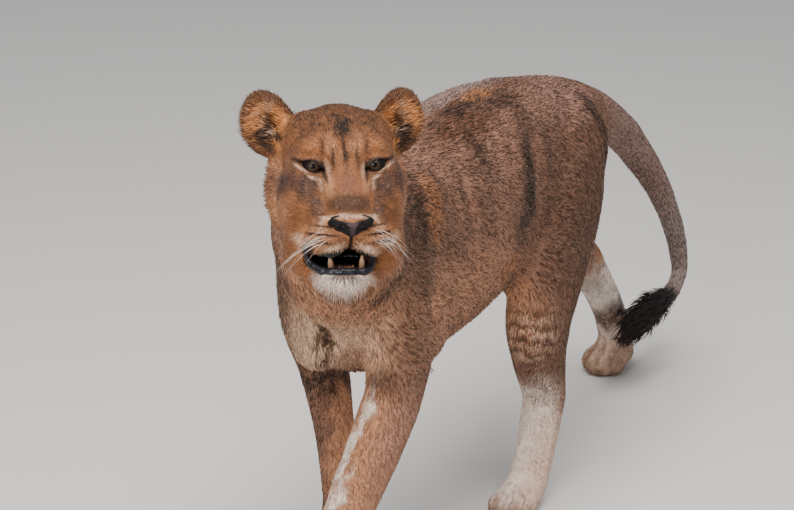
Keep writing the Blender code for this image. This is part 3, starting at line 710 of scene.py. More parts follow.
# the same for the head, in its own frame; marks are on both sides
faceMarks = [
    ((0.000, -0.020, 0.125), (0.120, 0.120, 0.048), 0, 0.5, "dark", 0.46),          # crown
    ((0.085, -0.060, -0.050), (0.045, 0.090, 0.045), 0, 0.6, "orange", 0.45),       # cheek
    ((0.110, -0.020, -0.020), (0.025, 0.100, 0.080), 0, 0.6, "tan", 0.60),
    ((0.086, -0.060, 0.012), (0.0085, 0.080, 0.034), -14, 0.6, "mauve", 0.75),      # temple
    ((0.046, -0.105, 0.050), (0.018, 0.060, 0.010), -8, 0.6, "orange", 0.70),       # above the eye
    ((0.022, -0.115, 0.056), (0.010, 0.060, 0.015), 0, 0.6, "tan", 0.35),
    ((0.004, -0.095, 0.084), (0.011, 0.060, 0.019), 0, 0.6, "dark", 0.95),          # stripe of the brow
    # a dark line, and painted shade along the furrow of the brow
    ((0.000, -0.125, 0.040), (0.0042, 0.070, 0.038), 0, 0.6, "dark", 0.85),
    # painted shade beside the furrow of the brow
    ((0.0195, -0.120, 0.031), (0.0042, 0.060, 0.018), 4, 0.6, "olive", 0.85),
    ((0.036, -0.110, 0.051), (0.0042, 0.060, 0.014), 8, 0.6, "dark", 0.70),
    # painted shade where the ear meets the head
    ((0.063, -0.020, 0.070), (0.0080, 0.080, 0.034), -40, 0.6, "dark", 0.55),
    ((0.064, -0.095, -0.014), (0.030, 0.070, 0.022), 12, 0.5, "mauve", 0.90),       # under the eye
    ((0.071, -0.095, -0.033), (0.014, 0.060, 0.009), -20, 0.6, "olive", 0.60),
    ((0.108, -0.055, -0.008), (0.024, 0.080, 0.026), 0, 0.6, "mauve", 1.0),
    ((0.088, -0.080, -0.030), (0.012, 0.060, 0.010), 0, 0.6, "orange", 0.60),
    ((0.050, -0.150, -0.047), (0.010, 0.070, 0.024), 8, 0.5, "mauve", 0.85),        # side of the bridge
    ((0.000, -0.165, -0.008), (0.018, 0.070, 0.018), 0, 0.6, "pink", 0.70),         # bridge
    ((0.030, -0.150, -0.014), (0.006, 0.070, 0.024), 4, 0.6, "tan", 0.40),
    ((0.000, -0.195, -0.0625), (0.044, 0.060, 0.0044), 0, 0.5, "cream", 0.70),
    ((0.0465, -0.190, -0.076), (0.004, 0.060, 0.014), -24, 0.5, "cream", 0.60),
    ((0.044, -0.170, -0.095), (0.036, 0.070, 0.026), 0, 0.5, "tan", 0.40),          # whisker pad
    ((0.028, -0.130, 0.015), (0.0042, 0.060, 0.013), 6, 0.5, "cream", 0.40),        # inside the eye
    ((0.0720, -0.095, 0.0165), (0.0120, 0.060, 0.0024), -24, 0.5, "cream", 0.60),   # under the eye
    ((0.0540, -0.115, 0.0030), (0.0120, 0.060, 0.0030), -30, 0.5, "cream", 0.75),
    ((0.0430, -0.125, -0.010), (0.0036, 0.060, 0.012), 8, 0.5, "cream", 0.40),
    ((0.024, -0.190, -0.117), (0.022, 0.070, 0.011), 14, 0.5, "cream", 0.70),       # edge of the lip
    ((0.077, -0.150, -0.101), (0.015, 0.060, 0.008), -30, 0.7, "cream", 0.55),      # corner of the mouth
    ((0.060, -0.080, -0.150), (0.045, 0.090, 0.040), 0, 0.6, "orange", 0.65),       # jaw
]

# the sharp ones, not broken up by the mottle
sharpMarks = [
    ((0.0515, -0.1045, 0.0205), (0.0210, 0.040, 0.0128), -17, 0.15, "black", 0.95),   # rim of the eye
    ((0.0740, -0.085, 0.0290), (0.0110, 0.050, 0.0034), -14, 0.4, "black", 0.90),
    ((0.0345, -0.130, 0.0040), (0.0035, 0.050, 0.0150), 10, 0.4, "black", 0.85),      # tear line
    ((0.000, -0.205, -0.104), (0.0028, 0.060, 0.0180), 0, 0.4, "black", 0.95),        # groove under the nose
    ((0.017, -0.205, -0.0785), (0.0120, 0.060, 0.0080), 0, 0.1, "black", 1.00),       # painted shade: the skin behind the nostrils black
    ((0.000, -0.205, -0.0840), (0.0120, 0.060, 0.0080), 0, 0.1, "black", 1.00),
    ((0.000, -0.180, -0.0415), (0.038, 0.070, 0.0165), 0, 0.45, "olive", 0.92),       # above the nose
]

# the chin leans to her right with the jaw: its marks are on one side alone
chinMarks = [
    ((-0.0145, -0.165, -0.165), (0.048, 0.070, 0.0145), 0, 0.45, "white", 0.82),
    ((-0.0140, -0.160, -0.177), (0.030, 0.070, 0.0180), 0, 0.45, "white", 0.82),
    # painted shadow just under the lower lip
    ((-0.0120, -0.195, -0.160), (0.026, 0.040, 0.0060), 0, 0.6, "olive", 0.85),
    ((-0.0680, -0.165, -0.117), (0.008, 0.060, 0.0120), 0, 0.3, "black", 0.90),   # lip at the corner
]

lipMark = {"centre": (-0.0115, -0.150, -0.1365), "radii": (0.0615, 0.100, 0.0235), "soft": 0.10}
earMark = {"both": (0.104, 0.040, 0.082), "left": (0.101, 0.040, 0.082), "right": (-0.107, 0.040, 0.082)}
padMake = {"row": 0.0135, "column": 0.0062, "first": 0.0815, "spot": (0.0034, 0.0018)}   # whisker roots

# where few dark hairs break the colour
calmSpots = {
    "hindRight": ((-0.095, 1.03, 0.22), (0.075, 0.17, 0.18), 0, 0.3),
    "hindLeft": ((0.095, 0.26, 0.10), (0.08, 0.14, 0.15), 0, 0.3),
    "fore": ((0.02, -0.56, 0.36), (0.15, 0.30, 0.38), 0, 0.3),
}

# an ear's front: centre and radii across and up
earMarks = [
    ((-0.016, 0.032), (0.036, 0.014), 30, 0.5, "orange", 0.6),
    ((-0.010, 0.034), (0.026, 0.006), 30, 0.6, "cream", 0.55),
    ((0.005, 0.006), (0.026, 0.014), 30, 0.5, "dark", 1.0),
    ((0.019, -0.016), (0.013, 0.028), 15, 0.5, "dark", 0.95),
    ((0.001, -0.008), (0.0045, 0.014), 20, 0.5, "cream", 0.8),
    ((-0.007, -0.017), (0.007, 0.008), 0, 0.5, "dark", 1.0),
    ((-0.020, -0.022), (0.016, 0.016), 0, 0.5, "orange", 0.6),
    ((-0.026, -0.034), (0.036, 0.010), -35, 0.5, "dark", 0.95),
]


def headPlace(place):
    return place.within(headOrigin, headTurn.to_euler("XYZ"), (headPose["scale"],) * 3)


def earTurn(side):
    turn = Matrix.Rotation(side * math.radians(30), 3, "Y") @ Matrix.Rotation(side * math.radians(22), 3, "Z")
    return turn @ Matrix.Rotation(math.radians(-8), 3, "X")


def addMarks(colour, place, marks, mottle):
    for centre, radii, tilt, soft, paint, strength in marks:
        mask = ball(place, centre, radii, tilt, soft) * mottle * strength
        colour = mask.blend(colour, coatTones[paint])
    return colour


# ears: dark rim, orange hair in front, black behind with a tan tip
def markEars(colour, side):
    ear = side.within(earMark["both"], earTurn(1).to_euler("XYZ"))
    inEar = ball(ear, (0.002, 0, 0.016), (0.058, 0.050, 0.066), 0, 0.12)
    behind = ear.part(1).rise(0.000, 0.008)
    front = 1 - behind
    rim = ball(ear, (0, 0, 0.003), (0.0360, 0.20, 0.0445), 0, 0.20)
    colour = (inEar * front).blend(colour, coatTones["ear"])
    for centre, radii, tilt, soft, paint, strength in earMarks:
        mask = inEar * front * ball(ear, (centre[0], 0, centre[1]), (radii[0], 0.20, radii[1]), tilt, soft)
        colour = (mask * strength).blend(colour, coatTones[paint])
    colour = (inEar * front * (1 - rim) * 0.9).blend(colour, coatTones["eartip"])
    patch = ball(ear, (0, 0, 0.000), (0.044, 0.20, 0.040), 0, 0.3)
    return (inEar * behind * patch * 0.9).blend(colour, coatTones["black"])


# rows of dark whisker roots on the pads
def padSpots(colour, side):
    row, column = padMake["row"], padMake["column"]
    region = ball(side, (0.045, -0.165, -0.094), (0.026, 0.070, 0.021), 8, 0.3)
    rows = (side.part(2) + padMake["first"] - side.part(0) * 0.10) * (1 / row) + 20.5
    columns = (side.part(0) + side.part(2) * 0.5) * (1 / column) + 20.5
    down = (rows.maths("FRACT", rows) - 0.5) * row
    along = (columns.maths("FRACT", columns) - 0.5) * column
    gap = down.maths("SQRT", down * down * 1.4 + along * along)
    line = down.maths("ABSOLUTE", down).rise(0.0030, 0.0008)
    colour = (region * line * 0.60).blend(colour, coatTones["rust"])
    return (region * gap.rise(*padMake["spot"])).blend(colour, coatTones["dark"])


def bodyColour(walk, walkWarp, mottle):
    body = addMarks(coatTones["flank"], walkWarp, bodyMarks, mottle)
    bars = walkWarp.part(2) * 32 + walkWarp.part(1) * 10 + 0.354
    stripes = bars.maths("SINE", bars * 6.2832)
    legBars = ball(walk, (0.125, 0.160, 0.415), (0.07, 0.080, 0.065), 0, 0.5)
    body = (legBars * stripes.rise(0.1, 0.9) * 0.75).blend(body, coatTones["dark"])
    body = (legBars * stripes.rise(0.1, -0.9) * 0.45).blend(body, coatTones["cream"])
    along = walkWarp.part(1)
    body = (along.rise(0.64, 0.84) * walk.part(0).rise(-0.050, -0.035)).blend(body, coatTones["tail"])
    body = (along.rise(1.05, 1.25) * walk.part(0).rise(-0.050, -0.035)).blend(body, coatTones["tailEnd"])
    low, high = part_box("tail_tuft")
    middle = (Vector(low) + Vector(high)) / 2 - walkOrigin
    half = (Vector(high) - Vector(low)) / 2
    tuft = ball(walkWarp, middle + Vector((0, -0.006, 0)), (0.062, half.y + 0.004, half.z + 0.025), 0, 0.12)
    return (tuft * 0.97).blend(body, coatTones["black"]), tuft


def faceColour(local, localWarp, side, sharpSide, mottle):
    face = addMarks(coatTones["face"], side, faceMarks, mottle)
    face = addMarks(face, sharpSide, sharpMarks, 1.0)
    face = addMarks(face, localWarp, chinMarks, 1.0)
    face = padSpots(face, sharpSide)
    face = markEars(face, sharpSide)
    speckle = texture(local, "Noise", 120.0, Detail=3.0, Roughness=0.6).rise(0.50, 0.62)
    crown = ball(local, (0, -0.045, 0.105), (0.10, 0.12, 0.045), 0, 0.5)
    face = (crown * speckle * 0.85).blend(face, coatTones["dark"])
    freckle = texture(local, "Noise", 210.0, Detail=3.0, Roughness=0.7)
    face = (freckle.rise(0.56, 0.70) * 0.35).blend(face, coatTones["olive"])
    face = (freckle.rise(0.44, 0.32) * 0.12).blend(face, coatTones["cream"])
    lips = ball(local, lipMark["centre"], lipMark["radii"], 0, lipMark["soft"])
    return lips.blend(face, coatTones["black"]), lips


# her colours from a place on her: colour, how wet it is, how much is head, and how freely dark hairs break it
def markings(place):
    walk = place.shift(tuple(-value for value in walkOrigin))
    ripple = texture(place, "Noise", 34.0, output=1, Detail=3.0)
    ripple = ripple.shift((-0.5, -0.5, -0.5))
    walkWarp = walk.shift(ripple, 0.060)
    local = headPlace(place)
    localWarp = local.shift(ripple, 0.011)
    side = localWarp.mirrored()
    sharpSide = local.mirrored()
    mottle = texture(place, "Noise", 70.0, Detail=5.0, Roughness=0.7).rise(0.34, 0.58, 0.50, 1.10)
    body, tuft = bodyColour(walk, walkWarp, mottle)
    face, lips = faceColour(local, localWarp, side, sharpSide, mottle)
    stretch = localWarp.vector("MULTIPLY", localWarp, (1, 0.9, 1))
    reach = stretch.vector("LENGTH", stretch, output=1)
    head = reach.rise(0.285, 0.235) * localWarp.part(1).rise(0.095, 0.035)
    colour = head.blend(body, face)
    pale = ball(walk, *calmSpots["hindRight"]) + ball(walk, *calmSpots["hindLeft"])
    pale = pale + ball(walk, *calmSpots["fore"]) * 0.8
    return colour, lips, head, (1 - tuft) * (1 - pale * 0.75)


def skinMaterial():
    material, shader = newMaterial("shortCoat")
    place = objectPlace(material)
    colour, lips, head, calm = markings(place)
    grain = texture(place, "Noise", 260.0, Detail=3.0, Roughness=0.7)
    patchy = texture(place, "Noise", 22.0, Detail=3.0)
    wild = ((1 - head) * 0.6 + 0.4) * calm
    colour = (grain.rise(0.42, 0.30) * wild * 0.55).blend(colour, coatTones["dark"])
    colour = (grain.rise(0.58, 0.72) * wild * 0.30).blend(colour, coatTones["cream"])
    colour = (patchy.rise(0.5, 0.72) * 0.25 * (1 - head) * calm).blend(colour, coatTones["brown"])
    colour = lips.blend(colour, coatTones["black"])
    rough = 0.72 - lips * 0.55
    bump = bumpOf(grain * (1 - lips), 0.0015, 0.5)
    feed(shader, {"Base Color": colour, "Roughness": rough, "Normal": bump}, {"Specular IOR Level": 0.20})
    return material


skin.data.materials.append(skinMaterial())
print("skin coloured")

# coat: closed tufts laid along the skin, a few joined pieces of them

coatMake = {
    "seed": 7,
    "tufts": 226000,
    "perPiece": 32500,
    "cover": 2.2,         # how many tufts lie over each spot
    "patch": 0.0015,      # half a tuft's patch on the unwrap
    "sunk": 0.0007,       # roots below the skin
    "lowest": 0.0003,     # over the floor
}

# the tail from its root to its tip, as she walks
tailRoute = [
    (0, 0.62, 0.80), (0, 0.71, 0.776), (0, 0.82, 0.724), (0, 0.942, 0.652),
    (0, 1.115, 0.514), (0, 1.246, 0.368), (0, 1.303, 0.257), (0, 1.303, 0.212),
    (0, 1.268, 0.186), (0, 1.212, 0.180), (0, 1.065, 0.166), (0, 0.92, 0.145),
]


def unit(vectors):
    return vectors / np.maximum(np.linalg.norm(vectors, axis=1), 1e-9)[:, None]


# moves values part of the way to what is wanted
def towards(values, wanted, part):
    part = part if values.ndim == 1 else part[:, None]
    return values + (np.asarray(wanted) - values) * part


def eggPart(places, centre, radii, soft=0.4):
    gap = np.linalg.norm((places - np.array(centre)) / np.array(radii), axis=1)
    return smooth(1 + soft, 1 - soft, gap)


# places in an ear's own frame: x across, z up, its cup open to -Y
def earLocal(local, side):
    centre = earMark["left"] if side > 0 else earMark["right"]
    return (local - centre) @ np.array(earTurn(side))


leatherMake = {"half": 0.0465, "top": -0.0715, "wings": 0.0125, "bottom": -0.0950, "sides": 0.0330}


# how far inside the nose leather's outline a place is, from ahead; under 0 outside
def noseLeather(local):
    across = abs(local[:, 0]) / leatherMake["half"]
    top = leatherMake["top"] + leatherMake["wings"] * across ** 1.6
    bottom = leatherMake["bottom"] + leatherMake["sides"] * across ** 1.3
    inside = np.minimum(top - local[:, 2], local[:, 2] - bottom)
    return np.where(across > 1, -0.01, inside)


# hair by region: how long it is and how far it lifts off the skin, None where that stays
hairMake = {
    "body": (0.0175, 0.12),
    "chest": (0.019, 0.17),
    "legs": (0.013, None),
    "shins": (0.0105, None),
    "feet": (0.007, None),
    "belly": (None, 0.26),
    "tail": (0.0145, None),
    "tuft": (0.052, 0.20),
    "face": (0.0085, 0.24),
    "bridge": (0.0042, None),
    "pad": (0.0060, None),
    "chin": (0.0150, 0.38),
    "cheek": (0.0135, 0.17),
    "throat": (0.018, 0.20),
    "ruff": (0.019, 0.20),
    "lids": (0.0034, None),
    "ear": (0.0085, 0.30),
    "locks": (0.022, 0.40),
}


def newHair(region, count):
    return [np.full(count, value) for value in hairMake[region]]


def grow(hair, region, part):
    wanted = hairMake[region]
    return [values if value is None else towards(values, value, part) for values, value in zip(hair, wanted)]


def bodyHair(walk, normals):
    count = len(walk)
    height = walk[:, 2]
    lie = np.tile((0.0, 0.86, -0.50), (count, 1))
    lie = towards(lie, (0.0, 1.0, -0.10), smooth(0.78, 0.93, height))                     # back
    chest = smooth(-0.40, -0.56, walk[:, 1]) * smooth(0.95, 0.85, height)
    lie = towards(lie, (0.0, 0.25, -0.95), chest)
    lie = towards(lie, (0.0, 0.18, -0.98), smooth(0.60, 0.46, height))                    # legs
    hip = smooth(0.30, 0.45, walk[:, 1]) * smooth(0.90, 0.78, height)
    lie = towards(lie, (0.0, 0.45, -0.90), hip)
    lie = towards(lie, (0.0, -0.75, -0.60), smooth(0.10, 0.045, height))                  # feet
    hair = newHair("body", count)
    hair = grow(hair, "chest", eggPart(walk, (0.04, -0.60, 0.68), (0.16, 0.16, 0.20)))
    hair = grow(hair, "legs", smooth(0.56, 0.46, height))
    hair = grow(hair, "shins", smooth(0.40, 0.26, height))
    hair = grow(hair, "feet", smooth(0.14, 0.07, height))
    belly = smooth(-0.30, -0.75, normals[:, 2]) * smooth(0.42, 0.46, height) * smooth(0.62, 0.56, height)
    return lie, grow(hair, "belly", belly)


# the tail's hair lies along its route
def tailHair(places, walk, lie, hair):
    route = np.array(tailRoute)
    best = np.full(len(walk), 9.0)
    along = np.zeros((len(walk), 3))
    for one, two in zip(route[:-1], route[1:]):
        step = two - one
        share = np.clip((walk - one) @ step / (step @ step), 0, 1)
        gap = np.linalg.norm(walk - one - share[:, None] * step, axis=1)
        closer = gap < best
        best = np.where(closer, gap, best)
        along[closer] = step / np.linalg.norm(step)
    tail = (walk[:, 1] > 0.66) * (walk[:, 0] > -0.045) * (best < 0.075) * smooth(0.64, 0.72, walk[:, 1])
    tuft = tailParts(places)
    hair = grow(grow(hair, "tail", tail), "tuft", tuft)
    return towards(lie, along, tail), hair, tuft


def earHair(local, normals, side, lie, hair):
    count = len(local)
    ear = earLocal(local, side)
    inEar = (abs(ear[:, 0]) < 0.062) & (abs(ear[:, 1]) < 0.05) & (ear[:, 2] > -0.055) & (ear[:, 2] < 0.09)
    inEar = inEar * smooth(-0.050, -0.030, ear[:, 2])
    turn = np.array(earTurn(side))
    facing = -(normals @ turnTable @ turn)[:, 1]
    up = np.stack([ear[:, 0] * 0.9, ear[:, 1] * 0, np.full(count, 0.045)], axis=1)
    lie = towards(lie, unit(up) @ turn.T, inEar)
    hair = grow(hair, "ear", inEar)
    cup = inEar * smooth(-0.1, 0.3, facing)
    locks = cup * smooth(0.052, 0.030, np.hypot(ear[:, 0], ear[:, 2] - 0.010))
    inward = np.tile((side * 0.87, -0.22, 0.42), (count, 1))
    lie = towards(lie, unit(inward) @ turn.T, locks * 0.7)
    return lie, grow(hair, "locks", locks)


# the head's hair lies away from the nose
def headHair(local, normals):
    away = unit(local - (0.0, -0.225, -0.066))
    away[:, 1] += 0.35
    lie = towards(away, (0.0, 0.5, -0.9), eggPart(local, (0, -0.14, -0.19), (0.09, 0.12, 0.05)))
    hair = newHair("face", len(local))
    hair = grow(hair, "bridge", eggPart(local, (0, -0.17, -0.03), (0.045, 0.07, 0.055), 0.3))
    for across in (0.045, -0.045):
        hair = grow(hair, "pad", eggPart(local, (across, -0.16, -0.095), (0.04, 0.06, 0.035), 0.3))
    hair = grow(hair, "chin", eggPart(local, (0, -0.15, -0.185), (0.065, 0.075, 0.034), 0.3))
    hair = grow(hair, "cheek", smooth(0.075, 0.11, abs(local[:, 0])) * smooth(0.06, 0.02, local[:, 2]))
    hair = grow(hair, "throat", smooth(-0.10, -0.03, local[:, 1]) * smooth(-0.12, -0.17, local[:, 2]))
    hair = grow(hair, "ruff", smooth(-0.02, 0.05, local[:, 1]) * smooth(0.10, 0.02, local[:, 2]))
    mouth = np.linalg.norm((local - lipMark["centre"]) / lipMark["radii"], axis=1)
    bare = (mouth < 0.99).astype(float)
    for side in (1, -1):
        ahead, outer, up = eyeAxes(side)
        offset = local - np.array(headPose["eye"]) * (side, 1, 1)
        near = (np.linalg.norm(offset, axis=1) < 0.05) & (offset @ ahead > 0)
        gap = np.where(near, lidGap(offset @ outer, offset @ up)[0], 0.05)
        bare = np.maximum(bare, (gap < 0.0016) * 1.0)
        hair = grow(hair, "lids", smooth(0.012, 0.003, gap))
        spread = unit(offset - (offset @ ahead)[:, None] * ahead)
        lie = towards(lie, spread, smooth(0.010, 0.002, gap) * 0.8)
        lie, hair = earHair(local, normals, side, lie, hair)
    bare = np.maximum(bare, (noseLeather(local) > -0.0006) * (local[:, 1] < -0.165))
    return lie, hair, bare


# direction, length, width and lift of the hair at each place, and where it grows
def hairLie(places, normals):
    walk = places - np.array(walkOrigin)
    lie, hair = bodyHair(walk, normals)
    lie, hair, tuft = tailHair(places, walk, lie, hair)
    head = headness(places)
    face, faceHair, bare = headHair(toHead(places), normals)
    lie = towards(lie, face @ turnTable.T, head)
    length, lift = (towards(values, wanted, head) for values, wanted in zip(hair, faceHair))
    width = 0.0007 + (0.090 - 0.045 * head) * length
    width = np.where(tuft > 0.5, 0.0030, width)
    keep = (1 - bare * head) * (walk[:, 2] > 0.004)
    lie = unit(lie - normals * (lie * normals).sum(axis=1)[:, None])
    return lie, length, width, lift, keep


# where each corner of the skin's triangles lies on an unwrap of it
def unwrapSkin():
    spare = copyOf(skin, "unwrap")
    editAll(spare, bpy.ops.uv.smart_project, angle_limit=math.radians(66), island_margin=0.002)
    flat = np.empty(len(spare.data.loops) * 2)
    spare.data.uv_layers.active.data.foreach_get("uv", flat)
    bpy.data.objects.remove(spare)
    return flat.reshape(-1, 3, 2)


# where the tufts stand: roots, the way the skin faces there, and their places on the unwrap
def scatter(rng):
    places, normals = placesOf(skin), normalsOf(skin)
    corners = np.empty(len(skin.data.polygons) * 3, dtype=np.int64)
    skin.data.polygons.foreach_get("vertices", corners)
    corners = corners.reshape(-1, 3)
    flat = unwrapSkin()
    one, two, three = (places[corners[:, i]] for i in range(3))
    area = np.linalg.norm(np.cross(two - one, three - one), axis=1) / 2
    middle = (one + two + three) / 3
    facing = unit(normals[corners].mean(axis=1))
    lie, length, width, lift, keep = hairLie(middle, facing)
    wanted = area * keep * coatMake["cover"] * 2 / (length * width)
    print("tufts wanted", int(wanted.sum()))
    wanted *= min(1, coatMake["tufts"] / wanted.sum())
    number = int(min(coatMake["tufts"], wanted.sum()))
    edges = np.cumsum(wanted) / wanted.sum()
    chosen = np.searchsorted(edges, (np.arange(number) + rng.random(number)) / number)
    chosen = np.minimum(chosen, len(area) - 1)
    a, b = rng.random(number), rng.random(number)
    over = a + b > 1
    a, b = np.where(over, 1 - a, a), np.where(over, 1 - b, b)
    weights = np.stack([1 - a - b, a, b], axis=1)
    roots = (places[corners[chosen]] * weights[:, :, None]).sum(axis=1)
    facing = unit((normals[corners[chosen]] * weights[:, :, None]).sum(axis=1))
    patch = (flat[chosen] * weights[:, :, None]).sum(axis=1)
    return roots, facing, patch


# five points to a tuft: its root, the two edges and the ridge of its middle, and its tip
def tuftPoints(rng, roots, facing, lie, length, width, lift):
    count = len(roots)
    # clumps: neighbours lean the same way, each hair a little its own
    wave = np.sin(roots @ np.array((61.0, 37.0, 83.0))) + np.sin(roots @ np.array((-47.0, 91.0, 29.0)))
    swing = 0.10 * wave + rng.normal(0, 0.16, count)
    lie = unit(lie + np.cross(facing, lie) * swing[:, None])
    across = unit(np.cross(facing, lie))
    length = length * rng.uniform(0.70, 1.25, count)
    width = width * rng.uniform(0.75, 1.30, count)
    lift = lift * rng.uniform(0.4, 1.5, count)
    rise = facing * (length * np.sin(lift))[:, None]
    run = lie * (length * np.cos(lift))[:, None]
    root = roots - facing * coatMake["sunk"]
    middle = root + run * 0.45 + rise * 0.60
    half = across * (width / 2)[:, None]
    ridge = middle + facing * (width * 0.30)[:, None]
    tip = root + run + rise * 0.95
    points = np.stack([root, middle + half, middle - half, ridge, tip], axis=1)
    points[:, :, 2] = np.maximum(points[:, :, 2], coatMake["lowest"])
    return points, length


tuftFaces = np.array([(0, 3, 1), (0, 2, 3), (0, 1, 2), (4, 1, 3), (4, 3, 2), (4, 2, 1)])
tuftSpread = np.array([(0, -1), (-1, 0), (1, 0), (0, 0), (0, 1)])     # of its points on the unwrap
tuftReach = (0, 0.45, 0.45, 0.45, 1.0)                                # from root to tip


def coatPiece(name, points, roots, patch, shade, length):
    size = len(points)
    made = bpy.data.meshes.new(name)
    made.vertices.add(size * 5)
    made.vertices.foreach_set("co", points.ravel())
    corners = (tuftFaces[None] + 5 * np.arange(size)[:, None, None]).reshape(-1)
    made.loops.add(len(corners))
    made.loops.foreach_set("vertex_index", corners.astype(np.int32))
    made.polygons.add(size * 6)
    made.polygons.foreach_set("loop_start", np.arange(0, len(corners), 3, dtype=np.int32))
    made.update(calc_edges=True)
    unwrap = made.uv_layers.new(name="OFBake")
    spread = tuftSpread[tuftFaces] * coatMake["patch"]
    where = np.clip((patch[:, None, None] + spread[None]).reshape(-1, 2), 0, 1)
    unwrap.data.foreach_set("uv", where.ravel())
    rootOf = made.attributes.new("root", "FLOAT_VECTOR", "POINT")
    rootOf.data.foreach_set("vector", np.repeat(roots, 5, axis=0).ravel())
    hair = made.attributes.new("hair", "FLOAT_VECTOR", "POINT")
    looks = np.stack([np.repeat(shade, 5), np.tile(tuftReach, size), np.repeat(length, 5)], axis=1)
    hair.data.foreach_set("vector", looks.ravel())
    made.polygons.foreach_set("use_smooth", np.ones(size * 6, dtype=bool))
    made.validate()
    piece = bpy.data.objects.new(name, made)
    bpy.context.scene.collection.objects.link(piece)
    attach(piece, "root")
    return piece


def makeCoat():
    rng = np.random.default_rng(coatMake["seed"])
    roots, facing, patch = scatter(rng)
    lie, length, width, lift, keep = hairLie(roots, facing)
    good = np.flatnonzero(keep > 0.5)
    order = good[np.argsort((roots[:, 1] + roots[:, 2] * 0.3)[good])]
    ordered = (values[order] for values in (roots, facing, patch, lie, length, width, lift))
    roots, facing, patch, lie, length, width, lift = ordered
    points, length = tuftPoints(rng, roots, facing, lie, length, width, lift)
    shade = rng.random(len(roots))
    pieces = []
    for start in range(0, len(roots), coatMake["perPiece"]):
        part = slice(start, start + coatMake["perPiece"])
        name = f"coat_{len(pieces) + 1:02d}"
        pieces.append(coatPiece(name, points[part], roots[part], patch[part], shade[part], length[part]))
    print("coat", len(roots), "tufts in", len(pieces), "pieces")
    return pieces


def coatMaterial():
    material, shader = newMaterial("furTufts")
    place = addNode(material.node_tree, "ShaderNodeAttribute", {"attribute_name": "root"}, {}, 1)
    hair = addNode(material.node_tree, "ShaderNodeAttribute", {"attribute_name": "hair"}, {}, 1)
    shade, reach = hair.part(0), hair.part(1)
    colour, lips, head, calm = markings(place)
    wild = ((1 - head) * 0.70 + 0.30) * calm
    clump = texture(place, "Noise", 310.0, Detail=1.0)
    patchy = texture(place, "Noise", 26.0, Detail=4.0)
    colour = (reach.rise(0.45, 0.0) * 0.35).blend(colour, coatTones["dark"])
    tips = reach.rise(0.30, 0.95)
    colour = (clump.rise(0.52, 0.42) * wild * 0.70).blend(colour, coatTones["dark"])
    colour = (clump.rise(0.50, 0.62) * tips * wild * 0.42).blend(colour, coatTones["cream"])
    colour = (shade.rise(0.36, 0.16) * tips * wild * 0.60).blend(colour, coatTones["dark"])
    colour = (shade.rise(0.70, 0.94) * tips * wild * 0.40).blend(colour, coatTones["cream"])
    colour = (patchy.rise(0.50, 0.70) * 0.35 * (1 - head) * calm).blend(colour, coatTones["brown"])
    feed(shader, {"Base Color": colour, "Roughness": 0.50 + shade * 0.22}, {"Specular IOR Level": 0.20})
    return material


coatPieces = makeCoat()
fur = coatMaterial()
for piece in coatPieces:
    piece.data.materials.append(fur)

# eyes: balls with a cornea, turned to the onlooker

lookAt = headOrigin + Vector((2.217, -3.900, 1.285))
eyeMake = {"iris": 0.0118, "pupil": 0.0043, "bulge": 0.0011, "segments": 48, "rings": 32}


def eyeMaterial(name, centre, turn):
    material, shader = newMaterial(name)
    place = objectPlace(material)
    local = place.within(centre, turn)
    flat = local.vector("MULTIPLY", local, (1, 1, 0))
    reach = flat.vector("LENGTH", flat, output=1)
    spoke = flat.vector("NORMALIZE", flat)
    streaks = texture(spoke.shift(flat, 30.0), "Noise", 9.0, Detail=4.0)
    iris, pupil = eyeMake["iris"], eyeMake["pupil"]
    colour = reach.rise(pupil, iris * 0.9).blend(tone(72, 54, 37), tone(38, 29, 23))
    colour = (streaks.rise(0.40, 0.65) * 0.55).blend(colour, tone(34, 26, 20))
    colour = reach.rise(iris * 0.86, iris * 1.0).blend(colour, tone(18, 14, 12))
    colour = reach.rise(iris * 1.05, iris * 1.30).blend(colour, tone(20, 15, 13))
    colour = reach.rise(pupil * 1.10, pupil * 0.94).blend(colour, tone(6, 5, 5))
    colour = (local.part(1).rise(0.0005, 0.0095) * 0.85).blend(colour, tone(10, 8, 7))   # painted shade cast by the upper lid
    gloss = {"Roughness": 0.30, "Specular IOR Level": 0.08, "Coat Weight": 0.14, "Coat Roughness": 0.05}
    feed(shader, {"Base Color": colour}, gloss)
    return material


def makeEye(node):
    low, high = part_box(node)
    centre = middleOf(node)
    radius = (high[2] - low[2]) / 2
    ahead = (lookAt - centre).normalized()
    turn = ahead.to_track_quat("Z", "Y").to_euler()
    bpy.ops.object.select_all(action="DESELECT")
    bpy.ops.mesh.primitive_uv_sphere_add(
        segments=eyeMake["segments"], ring_count=eyeMake["rings"],
        radius=radius, location=centre, rotation=turn,
    )
    eye = bpy.context.view_layer.objects.active
    eye.name = node + "_ball"
    bpy.ops.object.transform_apply(location=True, rotation=True, scale=True)
    places = placesOf(eye)
    offset = places - np.array(centre)
    front = offset @ np.array(ahead)
    flat = np.sqrt(np.clip((offset ** 2).sum(axis=1) - front ** 2, 0, None))
    out = (front > 0) * np.clip(1 - (flat / eyeMake["iris"]) ** 2, 0, 1) * eyeMake["bulge"]
    setPlaces(eye, places + out[:, None] * np.array(ahead))
    smoothShade(eye)
    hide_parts(node)
    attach(eye, "root")
    eye.data.materials.append(eyeMaterial(node + "Gloss", centre, turn))


for node in nodes:
    if node.startswith("eye_"):
        makeEye(node)
print("eyes")

# nose: pebbled leather with two comma nostrils

